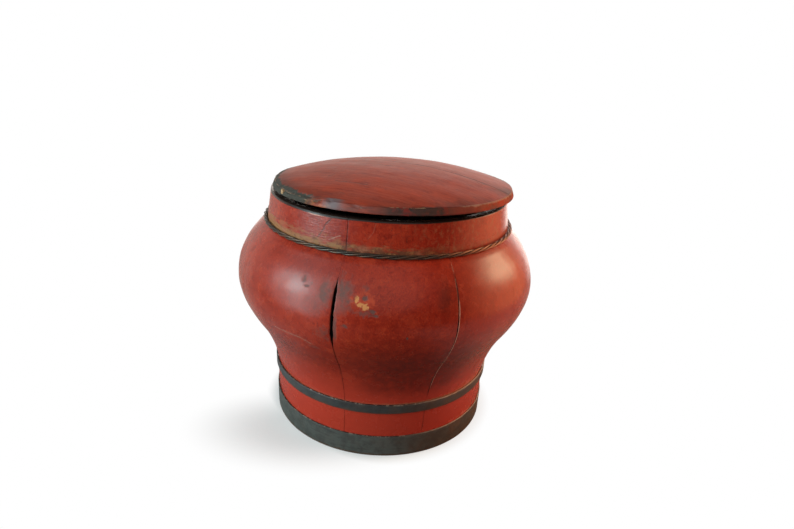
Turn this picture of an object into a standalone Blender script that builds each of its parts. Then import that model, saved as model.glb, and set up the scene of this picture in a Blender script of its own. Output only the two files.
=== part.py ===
"""Coopered rice bucket with a loose domed lid. Metres, +Z up, the front faces -Y.

Azimuths are in degrees from the front, growing towards +X.
"""
import math

import bmesh
import bpy
from mathutils import Matrix, Vector
from mathutils.geometry import tessellate_polygon

MM = 0.001

# Fits shared by every pair of pieces
GAP = 0.3 * MM

# Outer wall of the wood, from the floor up
FOOT_RADIUS = 141.0 * MM
WAIST_HEIGHT = 76.0 * MM
WAIST_RADIUS = 143.2 * MM
SWELL_HEIGHT = 139.7 * MM
SWELL_RADIUS = 168.2 * MM
BELLY_HEIGHT = 195.0 * MM
BELLY_RADIUS = 190.2 * MM
SHOULDER_HEIGHT = 239.0 * MM
SHOULDER_RADIUS = 176.5 * MM
LEDGE_HEIGHT = 259.2 * MM
NECK_HEIGHT = 264.5 * MM
COLLAR_RADIUS = 153.0 * MM
LEDGE_RUN = 7.2 * MM
LEDGE_RADIUS = COLLAR_RADIUS + LEDGE_RUN
COLLAR_TAPER = 4.3 * MM
RIM_RADIUS = COLLAR_RADIUS - COLLAR_TAPER
RIM_HEIGHT = 302.0 * MM
RIM_CHAMFER = 1.2 * MM
WAIST_SLOPE = 0.20
SWELL_SLOPE = 0.66
SHOULDER_SLOPE = -0.64
LEDGE_SLOPE = -0.85

# Thickness of the wood
FOOT_WALL = 17.2 * MM
BELLY_WALL = 17.5 * MM
COLLAR_WALL = 15.8 * MM
MOUTH_RUN = 12.0 * MM
OUTER_STEPS = 4
INNER_STEPS = 3
COLUMN_DEGREES = 9.0

# Stave joints: azimuth at the foot and at the rim
JOINTS = (
    (-62.0, -62.0),
    (-16.3, -16.3),
    (22.4, 26.4),
    (48.5, 54.0),
    (93.0, 92.0),
    (131.0, 131.0),
    (175.0, 174.0),
    (214.0, 214.0),
    (257.0, 257.0),
)

# Floor let into the staves
GROOVE_HEIGHT = 24.0 * MM
GROOVE_WIDTH = 14.0 * MM
GROOVE_DEPTH = 5.0 * MM
FLOOR_STEP = 1.0 * MM
FLOOR_PANEL_RISE = 2.0 * MM
FLOOR_PANEL_MARGIN = 2.5 * MM
FLOOR_BOARDS = 3
FLOOR_SIDES = 36

# Pins hidden in the joints
STAVE_PIN_RADIUS = 2.5 * MM
STAVE_PIN_LENGTH = 28.0 * MM
STAVE_PIN_HEIGHTS = (56.0 * MM, 205.0 * MM)
FLOOR_PIN_RADIUS = 2.5 * MM
FLOOR_PIN_LENGTH = 30.0 * MM
FLOOR_PIN_SPREAD = 58.0 * MM
PIN_SIDES = 8

# Twisted neck hoop
STRANDS = 3
STRAND_RADIUS = 1.0 * MM
LAY_RADIUS = 1.45 * MM
LAY_TURNS = 20
LAY_STEPS = 6
STRAND_SIDES = 5

# Iron strips: lower edge, height, thickness, flare per height, lap azimuth
WAIST_HOOP_Z = 62.8 * MM
WAIST_HOOP_HEIGHT = 12.3 * MM
WAIST_HOOP_THICKNESS = 1.6 * MM
WAIST_HOOP_FLARE = 0.02
WAIST_HOOP_LAP_AZIMUTH = 168.0
FOOT_BAND_Z = 0.6 * MM
FOOT_BAND_HEIGHT = 28.6 * MM
FOOT_BAND_THICKNESS = 1.2 * MM
FOOT_BAND_FLARE = 0.02
FOOT_BAND_LAP_AZIMUTH = 204.0
STRIP_LAP = 34.0 * MM
STRIP_JOG = 12.0 * MM
STRIP_EDGE = 0.5 * MM
STRIP_STEP_DEGREES = 7.5
RIVET_RADIUS = 2.0 * MM
RIVET_HEAD_RADIUS = 4.0 * MM
RIVET_HEAD_HEIGHT = 1.8 * MM
RIVET_SPREAD = 14.0 * MM

# Lid, in its own frame: X along the boards, Z up from its lower edge
LID_OVERHANG = 1.8 * MM
LID_RADIUS = RIM_RADIUS + LID_OVERHANG
LID_EDGE_LEAN = 2.7 * MM
LID_ARRIS_RADIUS = LID_RADIUS - LID_EDGE_LEAN
LID_ARRIS_HEIGHT = 8.0 * MM
LID_EASE = 1.5 * MM
LID_RISE = 22.1 * MM
LID_DOME_POWER = 2.2
LID_ACROSS = 0.975
LID_SEAT_WIDTH = 28.0 * MM
LID_HOLLOW_SLOPE_WIDTH = 8.0 * MM
LID_HOLLOW_DEPTH = 8.0 * MM
LID_JOINT_OFFSET = 6.5 * MM
LID_SIDES = 48
LID_DOME_RINGS = 7
LID_SHIFT_X = 3.7 * MM
LID_SHIFT_Y = -6.1 * MM
LID_GRAIN_DEGREES = -25.6
LID_TILT_DEGREES = -1.40
LID_TILT_ACROSS_DEGREES = -0.73
LID_PIN_RADIUS = 3.0 * MM
LID_PIN_LENGTH = 40.0 * MM
LID_PIN_SPREAD = 80.0 * MM
BATTEN_OFFSET = 60.0 * MM
BATTEN_WIDTH = 22.0 * MM
BATTEN_DROP = 8.0 * MM
BATTEN_END_MARGIN = 3.0 * MM
BATTEN_BEVEL = 1.5 * MM
PEG_RADIUS = 2.8 * MM
PEG_DEPTH = 9.0 * MM
PEG_PLACES = (-0.78, -0.34, 0.34, 0.78)

# Colours as (red, green, blue), roughness, metallic
LACQUER = ((0.32, 0.022, 0.014), 0.35, 0.0)
BARE_WOOD = ((0.34, 0.20, 0.10), 0.7, 0.0)
BAMBOO = ((0.55, 0.38, 0.17), 0.6, 0.0)
IRON = ((0.065, 0.058, 0.050), 0.55, 0.85)
WIRE = ((0.10, 0.085, 0.070), 0.5, 0.85)


def clear_scene():
    """Start from an empty file."""
    for obj in list(bpy.data.objects):
        bpy.data.objects.remove(obj, do_unlink=True)
    for group in list(bpy.data.collections):
        bpy.data.collections.remove(group)


def new_collection(name):
    """Add a collection to the scene."""
    group = bpy.data.collections.new(name)
    bpy.context.scene.collection.children.link(group)
    return group


def make_material(name, finish):
    """Principled material of one piece."""
    colour, roughness, metallic = finish
    material = bpy.data.materials.new(name)
    material.use_nodes = True
    shader = material.node_tree.nodes["Principled BSDF"]
    shader.inputs["Base Color"].default_value = (*colour, 1.0)
    shader.inputs["Roughness"].default_value = roughness
    shader.inputs["Metallic"].default_value = metallic
    return material


def add_piece(name, bm, finish, matrix=None, parent=None):
    """Turn a bmesh into a named piece with its own material, or a cutter with none."""
    bmesh.ops.recalc_face_normals(bm, faces=bm.faces)
    mesh = bpy.data.meshes.new(name)
    bm.to_mesh(mesh)
    bm.free()
    obj = bpy.data.objects.new(name, mesh)
    if finish is None:
        CUTTERS.objects.link(obj)
        obj.hide_render = True
        obj.display_type = "WIRE"
    else:
        PIECES.objects.link(obj)
        obj.data.materials.append(make_material(name, finish))
    obj.parent = parent
    if matrix is not None:
        obj.matrix_local = matrix
    return obj


def cut(piece, cutter):
    """Take a cutter's shape out of a piece."""
    modifier = piece.modifiers.new("cut_" + cutter.name, "BOOLEAN")
    modifier.operation = "DIFFERENCE"
    modifier.solver = "EXACT"
    modifier.object = cutter


def around(radius, azimuth, height):
    """Point at an azimuth in degrees."""
    turn = math.radians(azimuth)
    return Vector((radius * math.sin(turn), -radius * math.cos(turn), height))


def outward(azimuth):
    """Level unit vector pointing away from the axis."""
    return around(1.0, azimuth, 0.0)


def along_joint(azimuth):
    """Level unit vector pointing round the wall, towards larger azimuths."""
    turn = math.radians(azimuth)
    return Vector((math.cos(turn), math.sin(turn), 0.0))


def aim(position, direction):
    """Matrix that stands a piece's Z along a direction."""
    turn = Vector((0.0, 0.0, 1.0)).rotation_difference(direction)
    return Matrix.Translation(position) @ turn.to_matrix().to_4x4()


def hermite(stations, steps):
    """Smooth (radius, height) line through (height, radius, slope) stations."""
    line = []
    for (z0, r0, m0), (z1, r1, m1) in zip(stations, stations[1:]):
        span = z1 - z0
        for step in range(steps):
            t = step / steps
            radius = (2 * t**3 - 3 * t**2 + 1) * r0
            radius += (t**3 - 2 * t**2 + t) * span * m0
            radius += (3 * t**2 - 2 * t**3) * r1
            radius += (t**3 - t**2) * span * m1
            line.append((radius, z0 + span * t))
    line.append((stations[-1][1], stations[-1][0]))
    return line


def outer_line():
    """Outer wall from the bottom to the rim."""
    line = [(FOOT_RADIUS, 0.0)]
    line += [((FOOT_RADIUS + WAIST_RADIUS) / 2, WAIST_HEIGHT / 2)]
    line += hermite((
        (WAIST_HEIGHT, WAIST_RADIUS, WAIST_SLOPE),
        (SWELL_HEIGHT, SWELL_RADIUS, SWELL_SLOPE),
        (BELLY_HEIGHT, BELLY_RADIUS, 0.0),
        (SHOULDER_HEIGHT, SHOULDER_RADIUS, SHOULDER_SLOPE),
        (LEDGE_HEIGHT, LEDGE_RADIUS, LEDGE_SLOPE),
    ), OUTER_STEPS)
    line += [(COLLAR_RADIUS, NECK_HEIGHT)]
    line += [(RIM_RADIUS, RIM_HEIGHT - RIM_CHAMFER)]
    line += [(RIM_RADIUS - RIM_CHAMFER, RIM_HEIGHT)]
    return line


def inner_line():
    """Inner wall from the bottom to the rim, with the floor's groove."""
    bore = FOOT_RADIUS - FOOT_WALL
    groove = bore + GROOVE_DEPTH
    top = GROOVE_HEIGHT + GROOVE_WIDTH
    mouth = COLLAR_RADIUS - COLLAR_WALL
    line = [(bore, 0.0), (bore, GROOVE_HEIGHT), (groove, GROOVE_HEIGHT), (groove, top)]
    line += hermite((
        (top, bore + FLOOR_STEP, 0.0),
        (WAIST_HEIGHT, WAIST_RADIUS - FOOT_WALL, WAIST_SLOPE / 2),
        (SWELL_HEIGHT, SWELL_RADIUS - BELLY_WALL, SWELL_SLOPE),
        (BELLY_HEIGHT, BELLY_RADIUS - BELLY_WALL, 0.0),
        (SHOULDER_HEIGHT, SHOULDER_RADIUS - BELLY_WALL, SHOULDER_SLOPE),
        (NECK_HEIGHT + MOUTH_RUN, mouth, 0.0),
    ), INNER_STEPS)
    line += [(mouth, RIM_HEIGHT - RIM_CHAMFER), (mouth + RIM_CHAMFER, RIM_HEIGHT)]
    return line


def radius_at(line, height):
    """Radius of a wall line at a height."""
    for (r0, z0), (r1, z1) in zip(line, line[1:]):
        if z1 > z0 and z0 <= height <= z1:
            return r0 + (r1 - r0) * (height - z0) / (z1 - z0)
    return line[-1][0]


def joint_azimuth(index, height):
    """Azimuth of a stave joint at a height."""
    foot, rim = JOINTS[index % len(JOINTS)]
    full_turns = index // len(JOINTS)
    return foot + (rim - foot) * height / RIM_HEIGHT + 360.0 * full_turns


def bridge(bm, first, second):
    """Quads between two closed rings of vertices."""
    count = len(first)
    for i in range(count):
        j = (i + 1) % count
        bm.faces.new((first[i], first[j], second[j], second[i]))


def close_end(bm, ring, section):
    """Cap a swept ring whose flat section is known."""
    flat = [Vector((a, b, 0.0)) for a, b in section]
    for triangle in tessellate_polygon([flat]):
        bm.faces.new([ring[i] for i in triangle])


def cylinder(radius, length, sides=PIN_SIDES):
    """Closed cylinder along Z, centred."""
    bm = bmesh.new()
    bmesh.ops.create_cone(
        bm, cap_ends=True, segments=sides, radius1=radius, radius2=radius, depth=length
    )
    return bm


def lathe(section, sides):
    """Solid of revolution whose section starts and ends on the axis."""
    bm = bmesh.new()
    start = bm.verts.new((0.0, 0.0, section[0][1]))
    rings = []
    for radius, height in section[1:-1]:
        ring = []
        for k in range(sides):
            turn = 2 * math.pi * k / sides
            ring.append(bm.verts.new((radius * math.cos(turn), radius * math.sin(turn), height)))
        rings.append(ring)
    end = bm.verts.new((0.0, 0.0, section[-1][1]))
    for k in range(sides):
        j = (k + 1) % sides
        bm.faces.new((start, rings[0][k], rings[0][j]))
        bm.faces.new((end, rings[-1][j], rings[-1][k]))
    for upper, lower in zip(rings, rings[1:]):
        bridge(bm, upper, lower)
    return bm


def keep_side(bm, point, normal):
    """Saw a solid with a plane and keep the part behind it."""
    geometry = list(bm.verts) + list(bm.edges) + list(bm.faces)
    result = bmesh.ops.bisect_plane(
        bm, geom=geometry, plane_co=point, plane_no=normal, clear_outer=True
    )
    edges = [item for item in result["geom_cut"] if isinstance(item, bmesh.types.BMEdge)]
    bmesh.ops.edgeloop_fill(bm, edges=edges)


def pin_with_bores(name, radius, length, matrix, pieces, parent=None):
    """A pin and the bore it needs in the pieces it joins."""
    add_piece(name, cylinder(radius, length), BAMBOO, matrix, parent)
    bore = cylinder(radius + GAP, length + 2 * GAP)
    cutter = add_piece(name + "_bore", bore, None, matrix, parent)
    for piece in pieces:
        cut(piece, cutter)


def make_stave(index):
    """One stave, swept between two joints."""
    section = outer_line() + list(reversed(inner_line()))
    middle = BELLY_HEIGHT
    width = joint_azimuth(index + 1, middle) - joint_azimuth(index, middle)
    columns = max(3, math.ceil(width / COLUMN_DEGREES))
    bm = bmesh.new()
    rings = []
    for column in range(columns + 1):
        share = column / columns
        ring = []
        for radius, height in section:
            half_gap = math.degrees(GAP / 2 / radius)
            low = joint_azimuth(index, height) + half_gap
            high = joint_azimuth(index + 1, height) - half_gap
            ring.append(bm.verts.new(around(radius, low + (high - low) * share, height)))
        rings.append(ring)
    for left, right in zip(rings, rings[1:]):
        bridge(bm, left, right)
    close_end(bm, rings[0], section)
    close_end(bm, rings[-1], section)
    return add_piece("stave_%02d" % (index + 1), bm, LACQUER)


def make_staves():
    """All staves and the pins between them."""
    staves = [make_stave(index) for index in range(len(JOINTS))]
    outer = outer_line()
    inner = inner_line()
    for index in range(len(JOINTS)):
        for letter, height in zip("ab", STAVE_PIN_HEIGHTS):
            azimuth = joint_azimuth(index, height)
            radius = (radius_at(outer, height) + radius_at(inner, height)) / 2
            matrix = aim(around(radius, azimuth, height), along_joint(azimuth))
            pin_with_bores(
                "stave_pin_%02d%s" % (index + 1, letter),
                STAVE_PIN_RADIUS,
                STAVE_PIN_LENGTH,
                matrix,
                (staves[index - 1], staves[index]),
            )


def make_floor():
    """Floor boards with a thinned edge in the groove, and pins in their joints."""
    bore = FOOT_RADIUS - FOOT_WALL
    facet = math.cos(math.radians(COLUMN_DEGREES / 2))
    radius = (bore + GROOVE_DEPTH) * facet - GAP
    panel = bore * facet - FLOOR_PANEL_MARGIN
    bottom = GROOVE_HEIGHT + GAP
    thickness = GROOVE_WIDTH - 2 * GAP
    shelf = bottom + thickness
    top = shelf + FLOOR_PANEL_RISE
    width = 2 * radius / FLOOR_BOARDS
    boards = []
    for number in range(FLOOR_BOARDS):
        bm = lathe((
            (0.0, top),
            (panel, top),
            (panel, shelf),
            (radius, shelf),
            (radius, bottom),
            (0.0, bottom),
        ), FLOOR_SIDES)
        bmesh.ops.dissolve_limit(bm, angle_limit=math.radians(0.1), verts=bm.verts, edges=bm.edges)
        front = -radius + width * number
        if number > 0:
            keep_side(bm, (0.0, front + GAP / 2, 0.0), (0.0, -1.0, 0.0))
        if number < FLOOR_BOARDS - 1:
            keep_side(bm, (0.0, front + width - GAP / 2, 0.0), (0.0, 1.0, 0.0))
        boards.append(add_piece("floor_board_%d" % (number + 1), bm, BARE_WOOD))
    count = 0
    for number in range(FLOOR_BOARDS - 1):
        joint = -radius + width * (number + 1)
        for side in (-1, 1):
            count += 1
            place = Vector((side * FLOOR_PIN_SPREAD, joint, bottom + thickness / 2))
            pin_with_bores(
                "floor_pin_%d" % count,
                FLOOR_PIN_RADIUS,
                FLOOR_PIN_LENGTH,
                aim(place, Vector((0.0, 1.0, 0.0))),
                (boards[number], boards[number + 1]),
            )


def make_neck_hoop():
    """Strands laid round each other in the corner under the collar."""
    reach = LAY_RADIUS + STRAND_RADIUS + GAP
    ledge_fall = NECK_HEIGHT - LEDGE_HEIGHT
    ledge_length = math.hypot(LEDGE_RUN, ledge_fall)
    lean = COLLAR_TAPER / (RIM_HEIGHT - NECK_HEIGHT)
    slant = math.hypot(1.0, lean)
    above = reach * (ledge_length - ledge_fall * slant) / (LEDGE_RUN - lean * ledge_fall)
    ring_radius = COLLAR_RADIUS + reach * slant - lean * above
    ring_height = NECK_HEIGHT + above
    steps = LAY_TURNS * LAY_STEPS
    for number in range(STRANDS):
        phase = 2 * math.pi * number / STRANDS
        path = []
        for step in range(steps):
            share = step / steps
            lay = 2 * math.pi * LAY_TURNS * share + phase
            radius = ring_radius + LAY_RADIUS * math.cos(lay)
            path.append(around(radius, 360.0 * share, ring_height + LAY_RADIUS * math.sin(lay)))
        bm = bmesh.new()
        rings = []
        for step in range(steps):
            ahead = (path[(step + 1) % steps] - path[step - 1]).normalized()
            side = ahead.cross(Vector((0.0, 0.0, 1.0))).normalized()
            rise = side.cross(ahead)
            ring = []
            for k in range(STRAND_SIDES):
                turn = 2 * math.pi * k / STRAND_SIDES
                offset = side * math.cos(turn) + rise * math.sin(turn)
                ring.append(bm.verts.new(path[step] + STRAND_RADIUS * offset))
            rings.append(ring)
        for step in range(steps):
            bridge(bm, rings[step - 1], rings[step])
        add_piece("neck_strand_%d" % (number + 1), bm, WIRE)


def make_strip(name, low, height, thickness, flare, lap_azimuth, stacked):
    """Iron strip round the wood, its ends lapped and held by two rivets."""
    outer = outer_line()
    checks = [low + height * k / 8 for k in range(9)]
    base = max(radius_at(outer, z) - flare * (z - low) for z in checks)
    base = base / math.cos(math.radians(STRIP_STEP_DEGREES / 2)) + GAP
    start = lap_azimuth
    lap = math.degrees(STRIP_LAP / base)
    jog = math.degrees(STRIP_JOG / base)
    lift = thickness + GAP
    edge = STRIP_EDGE
    section = (
        (0.0, 0.0),
        (thickness - edge, 0.0),
        (thickness, edge),
        (thickness, height - edge),
        (thickness - edge, height),
        (0.0, height),
    )
    plain = 360.0 - jog
    steps = math.ceil(plain / STRIP_STEP_DEGREES)
    turns = [plain * step / steps for step in range(steps + 1)]
    turns += [360.0 - jog * 0.5, 360.0 - jog * 0.15, 360.0, 360.0 + lap / 2, 360.0 + lap]
    bm = bmesh.new()
    rings = []
    for turn in turns:
        share = min(1.0, max(0.0, (turn - plain) / (jog * 0.85)))
        ring = []
        for depth, rise in section:
            radius = base + depth + flare * rise + lift * share
            ring.append(bm.verts.new(around(radius, start + turn, low + rise)))
        rings.append(ring)
    for left, right in zip(rings, rings[1:]):
        bridge(bm, left, right)
    close_end(bm, rings[0], section)
    close_end(bm, rings[-1], section)
    strip = add_piece(name, bm, IRON)
    for number, side in enumerate((-0.5, 0.5)):
        centre = height / 2
        azimuth = start + lap / 2
        if stacked:
            centre += side * RIVET_SPREAD
        else:
            azimuth += side * math.degrees(RIVET_SPREAD / base)
        lean = math.atan(flare)
        normal = outward(azimuth) * math.cos(lean) - Vector((0.0, 0.0, math.sin(lean)))
        foot = around(base + flare * centre, azimuth, low + centre)
        grip = 2 * thickness + GAP
        rivet = lathe((
            (0.0, grip + GAP + RIVET_HEAD_HEIGHT),
            (RIVET_HEAD_RADIUS * 0.6, grip + GAP + RIVET_HEAD_HEIGHT * 0.8),
            (RIVET_HEAD_RADIUS, grip + GAP + RIVET_HEAD_HEIGHT * 0.2),
            (RIVET_HEAD_RADIUS, grip + GAP),
            (RIVET_RADIUS, grip + GAP),
            (RIVET_RADIUS, GAP),
            (0.0, GAP),
        ), PIN_SIDES)
        add_piece("%s_rivet_%d" % (name, number + 1), rivet, IRON, aim(foot, normal))
        hole = cylinder(RIVET_RADIUS + GAP, 4 * grip)
        cut(strip, add_piece("%s_hole_%d" % (name, number + 1), hole, None, aim(foot, normal)))


def lid_section():
    """Half section of the lid from the top of the dome to the hollow's middle."""
    section = []
    for ring in range(LID_DOME_RINGS + 1):
        share = math.sin(math.pi / 2 * ring / LID_DOME_RINGS)
        height = LID_ARRIS_HEIGHT + LID_RISE * (1.0 - share**LID_DOME_POWER)
        section.append((LID_ARRIS_RADIUS * share, height))
    hollow = LID_RADIUS - LID_SEAT_WIDTH
    section += [
        (LID_RADIUS, LID_EASE),
        (LID_RADIUS - LID_EASE, 0.0),
        (hollow, 0.0),
        (hollow - LID_HOLLOW_SLOPE_WIDTH, LID_HOLLOW_DEPTH),
        (0.0, LID_HOLLOW_DEPTH),
    ]
    return section


def make_lid():
    """Lid boards, their pins, and the pegged battens."""
    tilt = math.radians(LID_TILT_DEGREES)
    tilt_across = math.radians(LID_TILT_ACROSS_DEGREES)
    drop = LID_RADIUS * math.sin(math.hypot(tilt, tilt_across))
    seat = Vector((LID_SHIFT_X, LID_SHIFT_Y, RIM_HEIGHT + GAP + drop))
    lid = bpy.data.objects.new("lid", None)
    PIECES.objects.link(lid)
    lean = Matrix.Rotation(tilt, 4, "X") @ Matrix.Rotation(tilt_across, 4, "Y")
    turn = Matrix.Rotation(math.radians(LID_GRAIN_DEGREES), 4, "Z")
    lid.matrix_world = Matrix.Translation(seat) @ lean @ turn

    boards = []
    for name, side in (("front", 1.0), ("back", -1.0)):
        bm = lathe(lid_section(), LID_SIDES)
        bmesh.ops.scale(bm, verts=bm.verts, vec=(1.0, LID_ACROSS, 1.0))
        keep_side(bm, (0.0, LID_JOINT_OFFSET - side * GAP / 2, 0.0), (0.0, side, 0.0))
        boards.append(add_piece("lid_board_" + name, bm, LACQUER, None, lid))

    pin_height = LID_HOLLOW_DEPTH + 2.5 * LID_PIN_RADIUS
    for number in range(3):
        place = Vector(((number - 1) * LID_PIN_SPREAD, LID_JOINT_OFFSET, pin_height))
        pin_with_bores(
            "lid_pin_%d" % (number + 1),
            LID_PIN_RADIUS,
            LID_PIN_LENGTH,
            aim(place, Vector((0.0, 1.0, 0.0))),
            boards,
            lid,
        )

    hollow = (LID_RADIUS - LID_SEAT_WIDTH - LID_HOLLOW_SLOPE_WIDTH) * LID_ACROSS
    corner = BATTEN_OFFSET + BATTEN_WIDTH / 2
    half_length = math.sqrt(hollow**2 - corner**2) - BATTEN_END_MARGIN
    top = LID_HOLLOW_DEPTH - GAP
    depth = top + BATTEN_DROP
    count = 0
    for name, side in (("left", -1.0), ("right", 1.0)):
        bm = bmesh.new()
        bmesh.ops.create_cube(bm, size=1.0)
        bmesh.ops.scale(bm, verts=bm.verts, vec=(BATTEN_WIDTH, 2 * half_length, depth))
        offset = (side * BATTEN_OFFSET, 0.0, top - depth / 2)
        bmesh.ops.translate(bm, verts=bm.verts, vec=offset)
        batten = add_piece("lid_batten_" + name, bm, BARE_WOOD, None, lid)
        ease = batten.modifiers.new("ease", "BEVEL")
        ease.width = BATTEN_BEVEL
        ease.segments = 1
        for place in PEG_PLACES:
            count += 1
            board = boards[0] if place < 0 else boards[1]
            length = depth + GAP + PEG_DEPTH
            foot = Vector((side * BATTEN_OFFSET, place * half_length, top - depth + length / 2))
            stand = Matrix.Translation(foot)
            add_piece("lid_peg_%d" % count, cylinder(PEG_RADIUS, length - GAP), BAMBOO, stand, lid)
            bore = cylinder(PEG_RADIUS + GAP, length + GAP)
            cutter = add_piece("lid_peg_%d_bore" % count, bore, None, stand, lid)
            cut(batten, cutter)
            cut(board, cutter)


clear_scene()
PIECES = new_collection("rice_bucket")
CUTTERS = new_collection("cutters")
make_staves()
make_floor()
make_neck_hoop()
make_strip(
    "waist_hoop",
    WAIST_HOOP_Z,
    WAIST_HOOP_HEIGHT,
    WAIST_HOOP_THICKNESS,
    WAIST_HOOP_FLARE,
    WAIST_HOOP_LAP_AZIMUTH,
    False,
)
make_strip(
    "foot_band",
    FOOT_BAND_Z,
    FOOT_BAND_HEIGHT,
    FOOT_BAND_THICKNESS,
    FOOT_BAND_FLARE,
    FOOT_BAND_LAP_AZIMUTH,
    True,
)
make_lid()
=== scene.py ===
"""Looks of a coopered rice bucket with a loose domed lid, built on its CAD frame.

Metres, +Z up, the front faces -Y. Azimuths are in degrees from the front, growing towards +X.
"""

import math

import bmesh
import bpy
from bpy.props import FloatProperty, FloatVectorProperty, IntProperty, PointerProperty
from mathutils import Matrix, Vector, noise


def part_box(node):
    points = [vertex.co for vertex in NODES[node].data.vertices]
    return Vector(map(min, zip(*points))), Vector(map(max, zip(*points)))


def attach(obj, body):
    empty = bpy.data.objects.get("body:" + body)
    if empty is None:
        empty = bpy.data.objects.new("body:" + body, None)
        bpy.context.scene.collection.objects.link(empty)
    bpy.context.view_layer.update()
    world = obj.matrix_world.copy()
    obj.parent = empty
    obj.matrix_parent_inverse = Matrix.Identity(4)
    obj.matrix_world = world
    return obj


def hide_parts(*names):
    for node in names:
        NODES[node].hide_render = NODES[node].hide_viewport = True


bl_info = {
    "name": "Rice Bucket",
    "version": (1, 0, 0),
    "blender": (4, 5, 0),
    "location": "View3D > Sidebar > Rice Bucket",
    "description": "Builds the lacquered wood, iron and wire of a coopered rice bucket",
    "category": "Object",
}

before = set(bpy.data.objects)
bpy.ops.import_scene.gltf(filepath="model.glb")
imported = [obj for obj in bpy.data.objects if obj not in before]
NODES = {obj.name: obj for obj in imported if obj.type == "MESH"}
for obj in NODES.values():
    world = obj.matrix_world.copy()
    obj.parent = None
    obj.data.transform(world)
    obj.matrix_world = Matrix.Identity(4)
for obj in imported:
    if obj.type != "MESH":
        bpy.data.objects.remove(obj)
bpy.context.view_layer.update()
STAVES = sorted(name for name in NODES if name.startswith("stave_") and "pin" not in name)
PHOTO_WIDTH = 794
SENSOR = 36.0


# Settings ----------------------------------------------------------------------------------


def length(name, text, default):
    """A length in metres."""
    return FloatProperty(name=name, description=text, default=default, precision=4, unit="LENGTH")


def ratio(name, text, default):
    """A plain number."""
    return FloatProperty(name=name, description=text, default=default, precision=3)


def angle(name, text, default):
    """An angle, given in degrees."""
    return FloatProperty(
        name=name, description=text, default=math.radians(default), subtype="ANGLE"
    )


def colour(name, text, default):
    """A colour."""
    return FloatVectorProperty(
        name=name, description=text, default=default, size=3, min=0.0, max=1.0, subtype="COLOR"
    )


class StaveSizes(bpy.types.PropertyGroup):
    """Shape of the staves."""

    foot_radius: length("Foot radius", "Outside of the wood at the ground", 0.141)
    waist_height: length("Waist height", "Where the foot starts to swell", 0.076)
    waist_radius: length("Waist radius", "Outside of the wood at the waist", 0.1432)
    waist_slope: ratio("Waist slope", "Outward run for each metre up", 0.20)
    swell_height: length("Swell height", "Middle of the swelling", 0.1397)
    swell_radius: length("Swell radius", "Outside of the wood on the swelling", 0.1682)
    swell_slope: ratio("Swell slope", "Outward run for each metre up", 0.66)
    belly_height: length("Belly height", "Where the wall is widest", 0.195)
    belly_radius: length("Belly radius", "Outside of the wood where it is widest", 0.1902)
    shoulder_height: length("Shoulder height", "Middle of the shoulder", 0.239)
    shoulder_radius: length("Shoulder radius", "Outside of the wood on the shoulder", 0.1765)
    shoulder_slope: ratio("Shoulder slope", "Outward run for each metre up", -0.64)
    ledge_height: length("Ledge height", "Outer edge of the seat of the neck hoop", 0.2592)
    ledge_radius: length("Ledge radius", "Outer edge of the seat of the neck hoop", 0.1602)
    ledge_slope: ratio("Ledge slope", "Outward run for each metre up", -0.85)
    neck_height: length("Neck height", "Foot of the collar", 0.2645)
    collar_radius: length("Collar radius", "Outside of the foot of the collar", 0.153)
    rim_radius: length("Rim radius", "Outside of the top of the collar", 0.1487)
    foot_wall: length("Foot wall", "Thickness of the wood at the foot", 0.0172)
    belly_wall: length("Belly wall", "Thickness of the wood on the belly", 0.0175)
    collar_wall: length("Collar wall", "Thickness of the wood at the mouth", 0.0158)
    mouth_run: length("Mouth run", "Height of the turn into the mouth", 0.012)
    groove_height: length("Groove height", "Lower edge of the groove for the floor", 0.024)
    groove_width: length("Groove width", "Width of the groove for the floor", 0.014)
    groove_depth: length("Groove depth", "Depth of the groove for the floor", 0.005)
    rim_rounding: length("Rim rounding", "Rounding of the rim", 0.0016)
    arris: length("Arris", "Rounding of the long edges", 0.0007)
    unevenness: length("Unevenness", "How far the hand-worked wall wanders", 0.0006)
    proud: length("Proud", "How far staves stand out from one another", 0.0004)
    joint_closing: length("Joint closing", "How much tighter the sound joints are drawn", 0.00024)
    split_width: length("Split width", "Widest opening of the split joint", 0.0026)
    split_low: length("Split low end", "Where the split joint closes again", 0.166)
    split_high: length("Split high end", "Where the split joint starts", 0.2445)
    gape_width: length("Gape width", "Opening of the joint right of the front", 0.0007)
    gape_low: length("Gape low end", "Where the gaping joint closes again", 0.086)
    gape_high: length("Gape high end", "Where the gaping joint starts", 0.250)


class HoopSizes(bpy.types.PropertyGroup):
    """Shape of the neck hoop and of the iron strips."""

    strand_radius: length("Strand radius", "Thickness of one strand of the neck hoop", 0.0012)
    lay_radius: length("Lay radius", "Distance of a strand from the middle of the hoop", 0.00145)
    lay_turns: IntProperty(name="Lay turns", description="Turns of each strand", default=20)
    clearance: length("Clearance", "Play between the hoops and the wood", 0.0003)
    waist_height: length("Waist hoop height", "Width of the waist hoop", 0.0123)
    waist_low: length("Waist hoop low edge", "Height of its lower edge", 0.0628)
    waist_thickness: length("Waist hoop thickness", "Thickness of its iron", 0.0016)
    waist_flare: ratio("Waist hoop flare", "Outward run for each metre up", 0.02)
    waist_lap: ratio("Waist hoop lap", "Azimuth of its lapped ends", 168.0)
    foot_height: length("Foot band height", "Width of the foot band", 0.0286)
    foot_low: length("Foot band low edge", "Height of its lower edge", 0.0006)
    foot_thickness: length("Foot band thickness", "Thickness of its iron", 0.0012)
    foot_flare: ratio("Foot band flare", "Outward run for each metre up", 0.02)
    foot_lap: ratio("Foot band lap", "Azimuth of its lapped ends", 204.0)
    lap: length("Lap", "How far the ends of a strip lie over each other", 0.034)
    jog: length("Jog", "Length of the step before the lap", 0.012)
    rivet_rise: length("Rivet rise", "Height of the rivet heads", 0.0018)
    waviness: length("Waviness", "How far the hammered iron wanders", 0.0004)


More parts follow.
